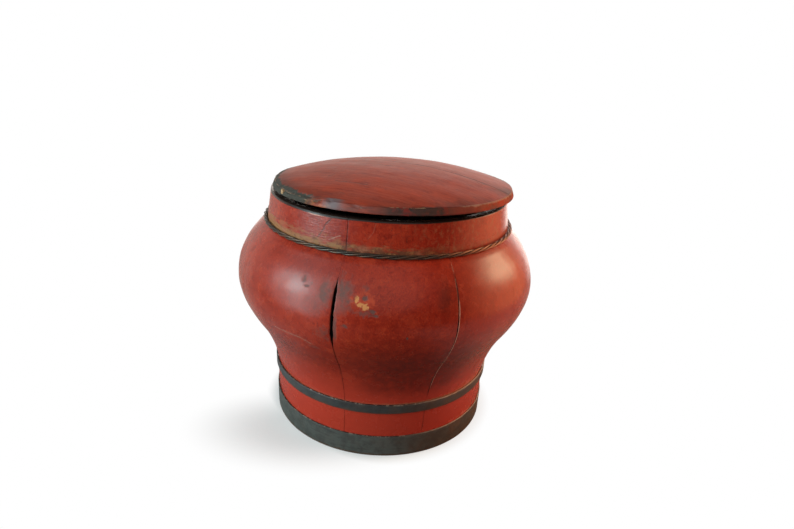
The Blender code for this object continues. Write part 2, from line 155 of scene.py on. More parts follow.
class LidSizes(bpy.types.PropertyGroup):
    """Shape and place of the lid."""

    radius: length("Radius", "Lower edge of the rim", 0.1505)
    arris_radius: length("Arris radius", "Upper edge of the rim", 0.1478)
    arris_height: length("Arris height", "Height of the rim", 0.008)
    rise: length("Rise", "Height of the dome above the rim", 0.0221)
    dome_power: ratio("Dome power", "Flatness of the top of the dome", 2.2)
    across: ratio("Across", "Width across the boards over width along them", 0.975)
    seat_width: length("Seat width", "Flat ring that lies on the bucket", 0.028)
    hollow_slope: length("Hollow slope", "Run of the hollow's edge", 0.008)
    hollow_depth: length("Hollow depth", "Depth of the hollow underneath", 0.008)
    joint_offset: length("Joint offset", "How far the joint lies from the middle", 0.0065)
    joint_gap: length("Joint gap", "Play in the joint", 0.0003)
    shift_x: length("Shift across", "How far the lid lies off the middle", 0.0037)
    shift_y: length("Shift back", "How far the lid lies off the middle", -0.0061)
    clearance: length("Clearance", "Play between lid and rim", 0.0003)
    grain: angle("Grain", "Turn of the boards", -25.6)
    tilt: angle("Tilt", "Lean of the lid towards the back", -1.40)
    tilt_across: angle("Tilt across", "Lean of the lid from side to side", -0.73)
    worn_drop: length("Worn drop", "How far the rim is worn down at the front left", 0.0026)
    worn_width: length("Worn width", "How far the wear reaches on to the dome", 0.013)
    worn_start: ratio("Worn start", "Azimuth where the worn rim starts", -112.0)
    worn_end: ratio("Worn end", "Azimuth where the worn rim ends", -36.0)
    chip_size: length("Chip size", "Size of the chips in the rim", 0.0065)
    chip_depth: length("Chip depth", "Depth of the chips in the rim", 0.0038)
    edge_peg_azimuth: ratio("Edge peg azimuth", "Place of the peg in the rim", -58.0)
    edge_peg_radius: length("Edge peg radius", "Size of the peg in the rim", 0.0030)


class FinishColours(bpy.types.PropertyGroup):
    """Colours of the finishes."""

    red: colour("Lacquer red", "Main colour of the lacquer", (0.330, 0.026, 0.011))
    # Deep red also serves as painted shade under the belly's swell.
    deep_red_and_shade: colour("Deep red", "Thick and dark lacquer", (0.170, 0.010, 0.005))
    # Orange red also serves as painted warm light on the right side of the staves.
    orange_red_and_warm_light: colour("Orange red", "Thin lacquer over the wood", (0.430, 0.050, 0.018))
    lid_brown: colour("Lid brown", "Browned lacquer of the lid", (0.320, 0.046, 0.015))
    # Painted light: brighter lacquer below the swell that stands for the light reaching the foot
    # and waist.
    foot_red_painted_light: colour("Foot red", "Lacquer at the foot, kept from the sun", (0.440, 0.040, 0.022))
    faded_red: colour("Faded red", "Bleached lacquer", (0.330, 0.060, 0.034))
    bare_wood: colour("Bare wood", "Grey-brown wood where lacquer is gone", (0.105, 0.052, 0.042))
    dark_wood: colour("Dark wood", "Grey spots in the lacquer", (0.085, 0.046, 0.040))
    rim_brown: colour("Rim brown", "Dark worn wood of the lid's rim", (0.042, 0.015, 0.010))
    weathered: colour("Weathered wood", "Grey-green wood of the worn rim", (0.056, 0.051, 0.041))
    ochre: colour("Ochre ground", "Yellow ground under the lacquer", (0.540, 0.205, 0.062))
    neck_ochre: colour("Neck ochre", "Rubbed ground above the neck hoop", (0.270, 0.135, 0.048))
    neck_brown: colour("Neck brown", "Dark stain above the neck hoop", (0.095, 0.042, 0.018))
    # This colour also serves as painted warm light on the right side of the wire.
    tan_wood_and_warm_light: colour("Tan wood", "Rubbed wood on edges", (0.300, 0.120, 0.062))
    # This colour is a painted highlight on worn edges: along the gaping joint and on the collar's
    # rim under the lid.
    pale_edge_highlight: colour("Pale edge", "Rubbed edge of the open joint", (0.600, 0.310, 0.240))
    # A grey haze with a painted reflection, on the lid's rim after the worn part.
    bloom_and_sheen: colour("Bloom", "Grey bloom on glossy wear", (0.105, 0.092, 0.100))
    # This dark colour also serves as painted shade: on the collar's top edge under the lid, under
    # the belly's swell and along the iron strips' upper edge.
    grime_and_shade: colour("Grime", "Dirt in joints", (0.022, 0.012, 0.010))
    joint_dirt: colour("Joint dirt", "Blackened faces of the joints", (0.010, 0.006, 0.005))
    inside_wood: colour("Inside wood", "Bare softwood inside", (0.330, 0.190, 0.100))
    bamboo: colour("Bamboo", "Pins and pegs", (0.520, 0.350, 0.160))
    iron: colour("Iron", "Dark iron of the strips", (0.138, 0.142, 0.130))
    hoop_iron: colour("Hoop iron", "Blackened iron of the waist hoop", (0.074, 0.076, 0.078))
    rust: colour("Rust", "Brown rust", (0.105, 0.052, 0.030))
    wire: colour("Wire", "Twisted wire", (0.055, 0.047, 0.040))
    # This colour also serves as a painted highlight along the lid's right arris.
    dust_and_highlight: colour("Dust", "Pale dust", (0.500, 0.380, 0.290))


class StageSettings(bpy.types.PropertyGroup):
    """Camera, lamps and floor."""

    camera_back: length("Camera back", "Distance of the camera in front of the axis", 0.71568)
    camera_height: length("Camera height", "Height of the camera", 0.47318)
    camera_down: angle("Camera down", "How far the camera looks down", 20.99)
    camera_right: angle("Camera right", "How far the camera looks to the right", 1.19)
    camera_roll: angle("Camera roll", "Roll of the camera", 3.55)
    focal_pixels: ratio("Focal length", "Focal length in pixels of the picture", 572.1)
    window_light: ratio("Window light", "Brightness of the studio on the left", 2.5)
    pane_light: ratio("Pane light", "Brightness of the window pane on the left", 17.0)
    window: colour("Window", "Colour of the light on the left", (0.76, 0.97, 1.0))
    warm_light: ratio("Warm light", "Brightness of the studio on the right", 2.7)
    warm: colour("Warm", "Colour of the light on the right", (1.0, 0.42, 0.22))
    glow_light: ratio("Glow light", "Brightness of the warm pane on the right", 10.5)
    glow: colour("Glow", "Colour of the warm pane on the right", (1.0, 0.80, 0.50))
    back_light: ratio("Back light", "Brightness of the studio behind the bucket", 3.2)
    front_light: ratio("Front light", "Brightness of the studio above the front", 0.9)
    sill_light: ratio("Sill light", "Brightness of the window sill on the left", 4.0)
    back: colour("Back", "Colour of the light from behind", (1.0, 0.90, 0.82))
    floor: colour("Floor", "Colour of the floor", (0.79, 0.80, 0.80))
    bounce: colour("Floor bounce", "Light thrown back by the floor in front", (0.10, 0.095, 0.09))
    side_bounce: colour("Side bounce", "Light thrown back by the floor aside", (0.6, 0.6, 0.6))
    shade_x: length("Shade across", "Middle of the soft shade on the floor", -0.09)
    shade_y: length("Shade back", "Middle of the soft shade on the floor", -0.095)
    shade_width: length("Shade width", "Half of the soft shade from side to side", 0.17)
    shade_depth: length("Shade depth", "Half of the soft shade from front to back", 0.095)
    contact_width: length("Contact width", "Dark edge round the foot", 0.022)


class RiceBucketSettings(bpy.types.PropertyGroup):
    """All settings of the rice bucket."""

    staves: PointerProperty(type=StaveSizes)
    hoops: PointerProperty(type=HoopSizes)
    lid: PointerProperty(type=LidSizes)
    colours: PointerProperty(type=FinishColours)
    stage: PointerProperty(type=StageSettings)


def settings():
    """Settings of this scene."""
    return bpy.context.scene.rice_bucket


# Shapes ------------------------------------------------------------------------------------


def around(radius, azimuth, height):
    """Point at an azimuth in degrees."""
    turn = math.radians(azimuth)
    return Vector((radius * math.sin(turn), -radius * math.cos(turn), height))


def azimuth_of(point):
    """Azimuth of a point in degrees."""
    return math.degrees(math.atan2(point[0], -point[1]))


def ease(value, start, end):
    """Smooth step from 0 at start to 1 at end."""
    share = min(1.0, max(0.0, (value - start) / (end - start)))
    return share * share * (3.0 - 2.0 * share)


def between(value, rise, fall):
    """1 between two soft limits, each given as its outer and its inner end."""
    return ease(value, *rise) * ease(value, *fall)


def wander(point, size, seed):
    """Smooth noise between about -1 and 1 with features of a size in metres."""
    return noise.noise(Vector(point) / size + Vector((seed, 3.1 * seed, -1.7 * seed)))


def smooth_line(stations, step):
    """(radius, height) points every step through (height, radius, slope) stations."""
    line = []
    for (z0, r0, m0), (z1, r1, m1) in zip(stations, stations[1:]):
        span = z1 - z0
        count = max(2, math.ceil(span / step))
        for k in range(count):
            t = k / count
            radius = (2 * t**3 - 3 * t**2 + 1) * r0 + (t**3 - 2 * t**2 + t) * span * m0
            radius += (3 * t**2 - 2 * t**3) * r1 + (t**3 - t**2) * span * m1
            line.append((radius, z0 + span * t))
    line.append((stations[-1][1], stations[-1][0]))
    return line


def rim_height():
    """Height of the rim of the staves."""
    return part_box(STAVES[0])[1].z


def outer_wall(s, step=0.0028):
    """Outside of the staves from the ground to the rim."""
    rim = rim_height()
    rise = (s.waist_radius - s.foot_radius) / s.waist_height
    line = smooth_line((
        (0.0, s.foot_radius, rise),
        (s.waist_height, s.waist_radius, rise),
    ), step)[:-1]
    line += smooth_line((
        (s.waist_height, s.waist_radius, s.waist_slope),
        (s.swell_height, s.swell_radius, s.swell_slope),
        (s.belly_height, s.belly_radius, 0.0),
        (s.shoulder_height, s.shoulder_radius, s.shoulder_slope),
        (s.ledge_height, s.ledge_radius, s.ledge_slope),
    ), step)
    lean = (s.rim_radius - s.collar_radius) / (rim - s.neck_height)
    line += smooth_line((
        (s.neck_height, s.collar_radius, lean),
        (rim - s.rim_rounding, s.rim_radius, lean),
    ), step)
    for k in range(1, 5):
        turn = math.pi / 2 * k / 4
        back = s.rim_rounding * (1.0 - math.cos(turn))
        line.append((s.rim_radius - back, rim - s.rim_rounding * (1.0 - math.sin(turn))))
    return line


def inner_wall(s, step=0.006):
    """Inside of the staves from the ground to the rim, with the floor's groove."""
    rim = rim_height()
    bore = s.foot_radius - s.foot_wall
    groove = bore + s.groove_depth
    scraped = 0.001
    top = s.groove_height + s.groove_width
    mouth = s.collar_radius - s.collar_wall
    line = [(bore, 0.0), (bore, s.groove_height), (groove, s.groove_height), (groove, top)]
    line += smooth_line((
        (top, bore + scraped, 0.0),
        (s.waist_height, s.waist_radius - s.foot_wall, s.waist_slope / 2),
        (s.swell_height, s.swell_radius - s.belly_wall, s.swell_slope),
        (s.belly_height, s.belly_radius - s.belly_wall, 0.0),
        (s.shoulder_height, s.shoulder_radius - s.belly_wall, s.shoulder_slope),
        (s.neck_height + s.mouth_run, mouth, 0.0),
        (rim - s.rim_rounding, mouth, 0.0),
    ), step)
    for k in range(1, 4):
        turn = math.pi / 2 * k / 4
        ahead = s.rim_rounding * (1.0 - math.cos(turn))
        line.append((mouth + ahead, rim - s.rim_rounding * (1.0 - math.sin(turn))))
    return line


def radius_at(line, height):
    """Radius of a wall line at a height."""
    for (r0, z0), (r1, z1) in zip(line, line[1:]):
        if z1 > z0 and z0 <= height <= z1:
            return r0 + (r1 - r0) * (height - z0) / (z1 - z0)
    return line[-1][0]


def joint_lines(node):
    """Azimuths of a stave's two long edges, each at the foot and at the rim."""
    close = 0.0002
    points = [vertex.co for vertex in NODES[node].data.vertices]
    middle = Vector((0.0, 0.0))
    for point in points:
        middle += Vector((point.x, point.y))
    centre = azimuth_of(middle)
    ends = []
    for level in (0.0, rim_height()):
        turns = [
            (azimuth_of(point) - centre + 180.0) % 360.0 - 180.0
            for point in points
            if abs(point.z - level) < close
        ]
        ends.append((centre + min(turns), centre + max(turns)))
    return (ends[0][0], ends[1][0]), (ends[0][1], ends[1][1])


def mesh_of(bm):
    """Mesh from a closed bmesh, with outward faces."""
    bmesh.ops.recalc_face_normals(bm, faces=bm.faces)
    mesh = bpy.data.meshes.new("piece")
    bm.to_mesh(mesh)
    bm.free()
    return mesh


def swept(rings, closed_path):
    """Bmesh through rings of points; its ends are capped where the path is open."""
    bm = bmesh.new()
    loops = [[bm.verts.new(point) for point in ring] for ring in rings]
    count = len(loops[0])
    pairs = list(zip(loops, loops[1:]))
    if closed_path:
        pairs.append((loops[-1], loops[0]))
    for left, right in pairs:
        for i in range(count):
            j = (i + 1) % count
            bm.faces.new((left[i], left[j], right[j], right[i]))
    if not closed_path:
        bm.faces.new(loops[0])
        bm.faces.new(reversed(loops[-1]))
    return bm


def lathe(section, sides):
    """Bmesh turned about Z from a section that starts and ends on the axis."""
    bm = bmesh.new()
    start = bm.verts.new((0.0, 0.0, section[0][1]))
    end = bm.verts.new((0.0, 0.0, section[-1][1]))
    rings = []
    for radius, height in section[1:-1]:
        turns = [2 * math.pi * k / sides for k in range(sides)]
        rings.append([
            bm.verts.new((radius * math.cos(t), radius * math.sin(t), height)) for t in turns
        ])
    for k in range(sides):
        j = (k + 1) % sides
        bm.faces.new((start, rings[0][k], rings[0][j]))
        bm.faces.new((end, rings[-1][j], rings[-1][k]))
        for upper, lower in zip(rings, rings[1:]):
            bm.faces.new((upper[k], lower[k], lower[j], upper[j]))
    return bm


def aim(position, direction):
    """Matrix that stands a piece's Z along a direction."""
    turn = Vector((0.0, 0.0, 1.0)).rotation_difference(direction)
    return Matrix.Translation(position) @ turn.to_matrix().to_4x4()


def mark(mesh, name, values):
    """Number for each vertex that a material reads."""
    layer = mesh.attributes.new(name, "FLOAT", "POINT")
    layer.data.foreach_set("value", values)


def settle(mesh, matrix):
    """Move a mesh to its place, and keep where each vertex was as a mark for materials."""
    layer = mesh.attributes.new("own_place", "FLOAT_VECTOR", "POINT")
    layer.data.foreach_set("vector", [axis for vertex in mesh.vertices for axis in vertex.co])
    mesh.transform(matrix)
    return mesh


def add_piece(name, mesh, materials, body, nodes=(), sharp=35.0):
    """Visible piece that rides on a body and stands for CAD nodes."""
    mesh.name = name
    for material in materials:
        mesh.materials.append(material)
    mesh.shade_smooth()
    mesh.set_sharp_from_angle(angle=math.radians(sharp))
    obj = bpy.data.objects.new(name, mesh)
    bpy.context.scene.collection.objects.link(obj)
    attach(obj, body)
    if nodes:
        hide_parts(*nodes)


def dress(names, material, bevel=0.0):
    """Give CAD nodes a finish, and eased edges where a bevel is given."""
    for name in names:
        node = NODES[name]
        node.data.materials.clear()
        node.data.materials.append(material)
        if bevel:
            eased = node.modifiers.new("eased_edges", "BEVEL")
            eased.width = bevel
            eased.segments = 2
            eased.limit_method = "ANGLE"


# Shader helpers ----------------------------------------------------------------------------


def join(tree, socket, value):
    """Link a socket, or set its constant."""
    if isinstance(value, bpy.types.NodeSocket):
        tree.links.new(value, socket)
    else:
        socket.default_value = value


def put(tree, kind, choices=None, **values):
    """Add a node, set its choices and fill its inputs by name."""
    node = tree.nodes.new("ShaderNode" + kind)
    for key, value in (choices or {}).items():
        setattr(node, key, value)
    for key, value in values.items():
        join(tree, node.inputs[key.replace("_", " ")], value)
    return node


def calc(tree, operation, *values):
    """Result of a sum."""
    node = put(tree, "Math", {"operation": operation})
    for socket, value in zip(node.inputs, values):
        join(tree, socket, value)
    return node.outputs[0]


def vector_calc(tree, operation, *values):
    """Result of a sum of vectors."""
    node = put(tree, "VectorMath", {"operation": operation})
    for socket, value in zip(node.inputs, values):
        join(tree, socket, value)
    return node.outputs["Value" if operation in ("LENGTH", "DOT_PRODUCT") else "Vector"]


def scaled(tree, vector, factors):
    """Vector times factors."""
    return vector_calc(tree, "MULTIPLY", vector, factors)


def summed(tree, base, *shares):
    """Base plus values, each given with its share."""
    for value, share in shares:
        base = calc(tree, "MULTIPLY_ADD", value, share, base)
    return base


def fade(tree, value, start, end):
    """Smooth mask from 0 at start to 1 at end."""
    choices = {"interpolation_type": "SMOOTHSTEP"}
    node = put(tree, "MapRange", choices, Value=value, From_Min=start, From_Max=end)
    return node.outputs["Result"]


def largest(tree, masks):
    """Strongest of several masks."""
    result = masks[0]
    for mask in masks[1:]:
        result = calc(tree, "MAXIMUM", result, mask)
    return result


def all_of(tree, *masks):
    """Product of several masks."""
    result = masks[0]
    for mask in masks[1:]:
        result = calc(tree, "MULTIPLY", result, mask)
    return result


def blend(tree, share, first, second, mode="MIX"):
    """Colour between two colours."""
    node = put(tree, "Mix", {"data_type": "RGBA", "blend_type": mode})
    factor, under, over = node.inputs[0], node.inputs[6], node.inputs[7]
    for socket, value in ((factor, share), (under, first), (over, second)):
        if not isinstance(value, (bpy.types.NodeSocket, float)):
            value = (*value, 1.0)
        join(tree, socket, value)
    return node.outputs[2]


def lay(tree, under, over, *masks):
    """Colour laid over another where all masks are strong."""
    return blend(tree, all_of(tree, *masks), under, over)


def speckle(tree, vector, scale, detail=3.0, rough=0.55):
    """Noise between 0 and 1."""
    node = put(tree, "TexNoise", Vector=vector, Scale=scale, Detail=detail, Roughness=rough)
    return node.outputs["Fac"]


def streaks(tree, vector, factors, detail=3.0, rough=0.55):
    """Noise between 0 and 1, with a scale of its own along each axis."""
    return speckle(tree, scaled(tree, vector, factors), 1.0, detail, rough)


def attribute(tree, name):
    """Number that the mesh carries."""
    return put(tree, "Attribute", {"attribute_name": name}).outputs["Fac"]


def new_group(name, inputs, output):
    """Empty node group with a place, more named inputs and one output."""
    group = bpy.data.node_groups.new(name, "ShaderNodeTree")
    for label, kind, default in (("Place", "Vector", (0.0, 0.0, 0.0)), *inputs):
        socket = group.interface.new_socket(
            label, in_out="INPUT", socket_type="NodeSocket" + kind
        )
        socket.default_value = default
    group.interface.new_socket(output, in_out="OUTPUT", socket_type="NodeSocketFloat")
    return group, group.nodes.new("NodeGroupInput").outputs, group.nodes.new("NodeGroupOutput")


def wobble(group, given):
    """Noise round 0 that makes an outline ragged."""
    return calc(group, "SUBTRACT", speckle(group, given["Place"], given["Scale"], 4.0, 0.6), 0.5)


def ragged_patch_group():
    """Mask of a patch with a ragged outline."""
    group, given, result = new_group("Ragged patch", (
        ("Centre", "Vector", (0.0, 0.0, 0.0)),
        ("Size", "Vector", (1.0, 1.0, 1.0)),
        ("Raggedness", "Float", 0.8),
        ("Scale", "Float", 250.0),
        ("Softness", "Float", 0.25),
    ), "Mask")
    limit = 1.05
    offset = vector_calc(group, "SUBTRACT", given["Place"], given["Centre"])
    away = vector_calc(group, "LENGTH", vector_calc(group, "DIVIDE", offset, given["Size"]))
    uneven = calc(group, "MULTIPLY", wobble(group, given), given["Raggedness"])
    away = calc(group, "ADD", away, uneven)
    inside = calc(group, "SUBTRACT", limit, given["Softness"])
    join(group, result.inputs["Mask"], fade(group, away, limit, inside))
    return group


def ragged_band_group():
    """Mask between two values, with ragged limits."""
    group, given, result = new_group("Ragged band", (
        ("Value", "Float", 0.0),
        ("Low", "Float", 0.0),
        ("High", "Float", 1.0),
        ("Softness", "Float", 0.001),
        ("Raggedness", "Float", 0.004),
        ("Scale", "Float", 200.0),
    ), "Mask")
    value = summed(group, given["Value"], (wobble(group, given), given["Raggedness"]))
    low = calc(group, "SUBTRACT", given["Low"], given["Softness"])
    high = calc(group, "ADD", given["High"], given["Softness"])
    rising = fade(group, value, low, given["Low"])
    falling = fade(group, value, high, given["High"])
    join(group, result.inputs["Mask"], all_of(group, rising, falling))
    return group


def fibre_group():
    """Fine lines of wood along the first axis of the place."""
    group, given, result = new_group("Wood fibre", (
        ("Fineness", "Float", 260.0),
        ("Run", "Float", 8.0),
    ), "Lines")
    stretch = put(group, "CombineXYZ", X=given["Run"], Y=given["Fineness"], Z=given["Fineness"])
    lines = streaks(group, given["Place"], stretch.outputs[0], 4.0, 0.65)
    join(group, result.inputs["Lines"], lines)
    return group


def hairline_group():
    """Mask of hairline cracks, longer along the first axis of the place."""
    group, given, result = new_group("Hairline cracks", (
        ("Scale", "Float", 120.0),
        ("Stretch", "Float", 0.2),
        ("Width", "Float", 0.04),
        ("Cover", "Float", 0.5),
    ), "Mask")
    shape = put(group, "CombineXYZ", X=given["Stretch"], Y=1.0, Z=1.0)
    place = scaled(group, given["Place"], shape.outputs[0])
    bend = put(group, "TexNoise", Vector=place, Scale=given["Scale"], Detail=2.0)
    bend = scaled(group, bend.outputs["Color"], (0.006, 0.006, 0.006))
    cells = put(
        group,
        "TexVoronoi",
        {"feature": "DISTANCE_TO_EDGE"},
        Vector=vector_calc(group, "ADD", place, bend),
        Scale=given["Scale"],
    )
    line = fade(group, cells.outputs["Distance"], given["Width"], 0.0)
    limit = calc(group, "SUBTRACT", 1.0, given["Cover"])
    area = speckle(group, given["Place"], 28.0, 2.0)
    area = fade(group, area, limit, calc(group, "ADD", limit, 0.15))
    join(group, result.inputs["Mask"], all_of(group, line, area))
    return group


def worn_edge_group():
    """Broken mask along edges, from a number that is 1 on the edge."""
    group, given, result = new_group("Worn edge", (
        ("Edge", "Float", 0.0),
        ("Scale", "Float", 180.0),
        ("Amount", "Float", 0.5),
    ), "Mask")
    broken = speckle(group, given["Place"], given["Scale"], 4.0, 0.65)
    value = summed(group, broken, (given["Edge"], given["Amount"]))
    join(group, result.inputs["Mask"], all_of(
        group, fade(group, value, 0.62, 0.86), fade(group, given["Edge"], 0.05, 0.4)
    ))
    return group


def scratch_group():
    """Mask of a thin line from one point to another."""
    group, given, result = new_group("Scratch", (
        ("Start", "Vector", (0.0, 0.0, 0.0)),
        ("End", "Vector", (1.0, 0.0, 0.0)),
        ("Width", "Float", 0.0005),
    ), "Mask")
    bend = put(group, "TexNoise", Vector=given["Place"], Scale=260.0, Detail=3.0)
    bend = scaled(group, bend.outputs["Color"], (0.0016, 0.0016, 0.0))
    run = vector_calc(group, "SUBTRACT", given["End"], given["Start"])
    ahead = vector_calc(group, "SUBTRACT", given["Place"], bend)
    ahead = vector_calc(group, "SUBTRACT", ahead, given["Start"])
    along = vector_calc(group, "DOT_PRODUCT", ahead, run)
    share = calc(group, "DIVIDE", along, vector_calc(group, "DOT_PRODUCT", run, run))
    share = put(group, "Clamp", Value=share).outputs[0]
    on_line = put(group, "VectorMath", {"operation": "SCALE"}, Vector=run, Scale=share)
    aside = vector_calc(group, "SUBTRACT", ahead, on_line.outputs[0])
    away = vector_calc(group, "LENGTH", aside)
    join(group, result.inputs["Mask"], fade(group, away, given["Width"], 0.0))
    return group


GROUPS = {
    "patch": ragged_patch_group,
    "band": ragged_band_group,
    "fibre": fibre_group,
    "hairline": hairline_group,
    "worn_edge": worn_edge_group,
    "scratch": scratch_group,
}
MADE_GROUPS = {}


def effect(tree, kind, place, **values):
    """Put a shared effect in a material and return its value."""
    if kind not in MADE_GROUPS:
        MADE_GROUPS[kind] = GROUPS[kind]()
    node = tree.nodes.new("ShaderNodeGroup")
    node.node_tree = MADE_GROUPS[kind]
    join(tree, node.inputs["Place"], place)
    for key, value in values.items():
        join(tree, node.inputs[key], value)
    return node.outputs[0]


def fibre_lines(tree, place, fineness, run):
    """Fine lines of wood along the first axis of a place."""
    return effect(tree, "fibre", place, Fineness=fineness, Run=run)


def band(tree, place, value, low, high, soft, ragged, scale):
    """Mask between two values, with ragged limits."""
    return effect(
        tree,
        "band",
        place,
        Value=value,
        Low=low,
        High=high,
        Softness=soft,
        Raggedness=ragged,
        Scale=scale,
    )


def scratches(tree, place, points, width):
    """Mask of a thin line through points of a material's place."""
    return largest(tree, [
        effect(tree, "scratch", place, Start=start, End=end, Width=width)
        for start, end in zip(points, points[1:])
    ])


def new_material(name, own_place=False):
    """Material, its tree, its shader and a place: the object's, or the one a piece was made in."""
    material = bpy.data.materials.new(name)
    material.use_nodes = True
    tree = material.node_tree
    if own_place:
        place = put(tree, "Attribute", {"attribute_name": "own_place"}).outputs["Vector"]
    else:
        place = put(tree, "TexCoord").outputs["Object"]
    return material, tree, tree.nodes["Principled BSDF"], place


def coat(tree, shader, tint, gloss, relief, strength, depth):
    """Feed a colour, a roughness and a relief to the shader."""
    join(tree, shader.inputs["Base Color"], tint)
    join(tree, shader.inputs["Roughness"], gloss)
    bump = put(tree, "Bump", Height=relief, Strength=strength, Distance=depth)
    join(tree, shader.inputs["Normal"], bump.outputs["Normal"])


# Finishes ----------------------------------------------------------------------------------


class StaveWall:
    """Places, noises and marks that the finish of the staves works with."""

    def __init__(self, tree, place, s):
        axes = put(tree, "SeparateXYZ", Vector=place).outputs
        turn = calc(tree, "ARCTAN2", axes["X"], calc(tree, "MULTIPLY", axes["Y"], -1.0))
        across = calc(tree, "MULTIPLY", turn, s.belly_radius)
        self.tree = tree
        self.sizes = s
        self.height = axes["Z"]
        self.degrees = calc(tree, "MULTIPLY", turn, 180.0 / math.pi)
        self.unrolled = put(tree, "CombineXYZ", X=self.height, Y=across, Z=0.0).outputs[0]
        self.upright = put(tree, "CombineXYZ", X=self.height, Y=axes["X"], Z=axes["Y"]).outputs[0]
        self.broad = speckle(tree, self.upright, 13.0, 4.0)
        self.mottle = speckle(tree, place, 55.0, 5.0, 0.6)
        self.blotch = speckle(tree, self.upright, 130.0, 5.0, 0.7)
        self.grit = streaks(tree, self.upright, (420.0, 720.0, 720.0), 3.0, 0.7)
        self.fibre = fibre_lines(tree, self.upright, 420.0, 14.0)

    def turned(self, start, end):
        """Mask from 0 at one azimuth to 1 at another."""
        return fade(self.tree, self.degrees, start, end)

    def raised(self, start, end):
        """Mask from 0 at one height to 1 at another."""
        return fade(self.tree, self.height, start, end)

    def point(self, azimuth, level):
        """Point of the unrolled wall."""
        return level, self.sizes.belly_radius * math.radians(azimuth), 0.0

    def line(self, width, *points):
        """Mask of a scratch through points given by azimuth and height."""
        return scratches(self.tree, self.unrolled, [self.point(*point) for point in points], width)

    def patch(self, azimuth, level, wide, tall, ragged=1.0, soft=0.25, scale=260.0, share=1.0):
        """Mask of a ragged patch, no stronger than its share."""
        mask = effect(
            self.tree,
            "patch",
            self.unrolled,
            Centre=self.point(azimuth, level),
            Size=(tall, wide, 1.0),
            Raggedness=ragged,
            Scale=scale,
            Softness=soft,
        )
        return mask if share == 1.0 else all_of(self.tree, mask, share)


def sound_lacquer(wall, c):
    """Colour of the staves where nothing has worn the lacquer, with painted warm light on the
    right, painted light below the swell and painted shade under the belly.
    """
    tree, s = wall.tree, wall.sizes
    tint = blend(tree, fade(tree, wall.broad, 0.36, 0.66), c.deep_red_and_shade, c.red)
    tint = lay(tree, tint, c.red, 0.55)
    tint = lay(tree, tint, c.orange_red_and_warm_light, fade(tree, wall.mottle, 0.5, 0.8), 0.5)
    tint = lay(tree, tint, c.deep_red_and_shade, fade(tree, wall.fibre, 0.62, 0.42), 0.16)
    tint = lay(tree, tint, c.deep_red_and_shade, fade(tree, wall.blotch, 0.50, 0.36), 0.60)
    tint = lay(tree, tint, c.orange_red_and_warm_light, fade(tree, wall.blotch, 0.54, 0.70), 0.55)
    tint = lay(tree, tint, c.deep_red_and_shade, fade(tree, wall.grit, 0.49, 0.32), 0.75)
    tint = lay(tree, tint, c.orange_red_and_warm_light, fade(tree, wall.grit, 0.53, 0.70), 0.60)
    # Painted warm light: the right side of the staves turns orange.
    painted_warm_light = all_of(
        tree,
        wall.turned(18.0, 62.0),
        wall.turned(178.0, 120.0),
        summed(tree, 0.2, (wall.mottle, 0.5)),
    )
    tint = lay(tree, tint, c.orange_red_and_warm_light, painted_warm_light)
    # Painted light: the lacquer below the swell is made brighter.
    tint = lay(tree, tint, c.foot_red_painted_light, wall.raised(s.swell_height, s.waist_height), 0.75)
    # Painted shade: the lower belly between waist and swell, from the front to the right, is
    # darkened with deep red and dark blotches.
    low = all_of(
        tree,
        wall.raised(s.belly_height, s.swell_height),
        wall.raised(s.waist_height + 0.004, s.waist_height + 0.03),
        wall.turned(-16.0, 4.0),
        wall.turned(48.0, 30.0),
        0.5,
    )
    tint = lay(tree, tint, c.deep_red_and_shade, low)
    return lay(tree, tint, c.grime_and_shade, fade(tree, wall.blotch, 0.62, 0.42), low, 0.5)


def bare_patches(wall):
    """Mask of bare wood on both sides of the split joint."""
    tree, patch = wall.tree, wall.patch
    bare = largest(tree, [
        patch(-13.6, 0.2310, 0.0150, 0.0190, 2.2, 1.0, 150.0),
        patch(-13.8, 0.2190, 0.0140, 0.0120, 2.4, 1.0, 150.0, share=0.50),
        patch(-19.9, 0.2275, 0.0110, 0.0200, 2.0, 1.0, 150.0, share=0.95),
        patch(-23.0, 0.2150, 0.0130, 0.0120, 3.0, 1.0, 120.0, share=0.35),
        patch(-15.3, 0.1930, 0.0030, 0.0200, 1.6, 0.6, share=0.85),
        patch(-19.4, 0.1850, 0.0120, 0.0120, 3.2, 1.0, 200.0, share=0.55),
        patch(-24.0, 0.1606, 0.0090, 0.0024, 2.0, 0.8, share=0.5),
    ])
    scuffed = fade(tree, speckle(tree, wall.upright, 420.0, 4.0, 0.7), 0.30, 0.55)
    return all_of(tree, bare, summed(tree, 0.58, (scuffed, 0.42)))


def thin_patches(wall):
    """Mask of rubbed lacquer right of the split joint."""
    return largest(wall.tree, [
        wall.patch(-6.8, 0.2250, 0.0160, 0.0110, 3.0, 1.0, 160.0, share=0.9),
        wall.patch(-3.7, 0.2265, 0.0034, 0.0058, 2.4, 0.7, share=0.9),
        wall.patch(-10.4, 0.2262, 0.0036, 0.0042, 2.4, 0.7, share=0.9),
    ])


def ochre_chips(wall):
    """Mask of chips down to the yellow ground."""
    return largest(wall.tree, [
        wall.patch(-8.8, 0.2268, 0.0027, 0.0037, 2.4, 0.45, 420.0),
        wall.patch(-7.5, 0.2224, 0.0042, 0.0021, 2.4, 0.45, 420.0),
        wall.patch(-5.9, 0.2206, 0.0040, 0.0035, 2.4, 0.45, 420.0),
    ])


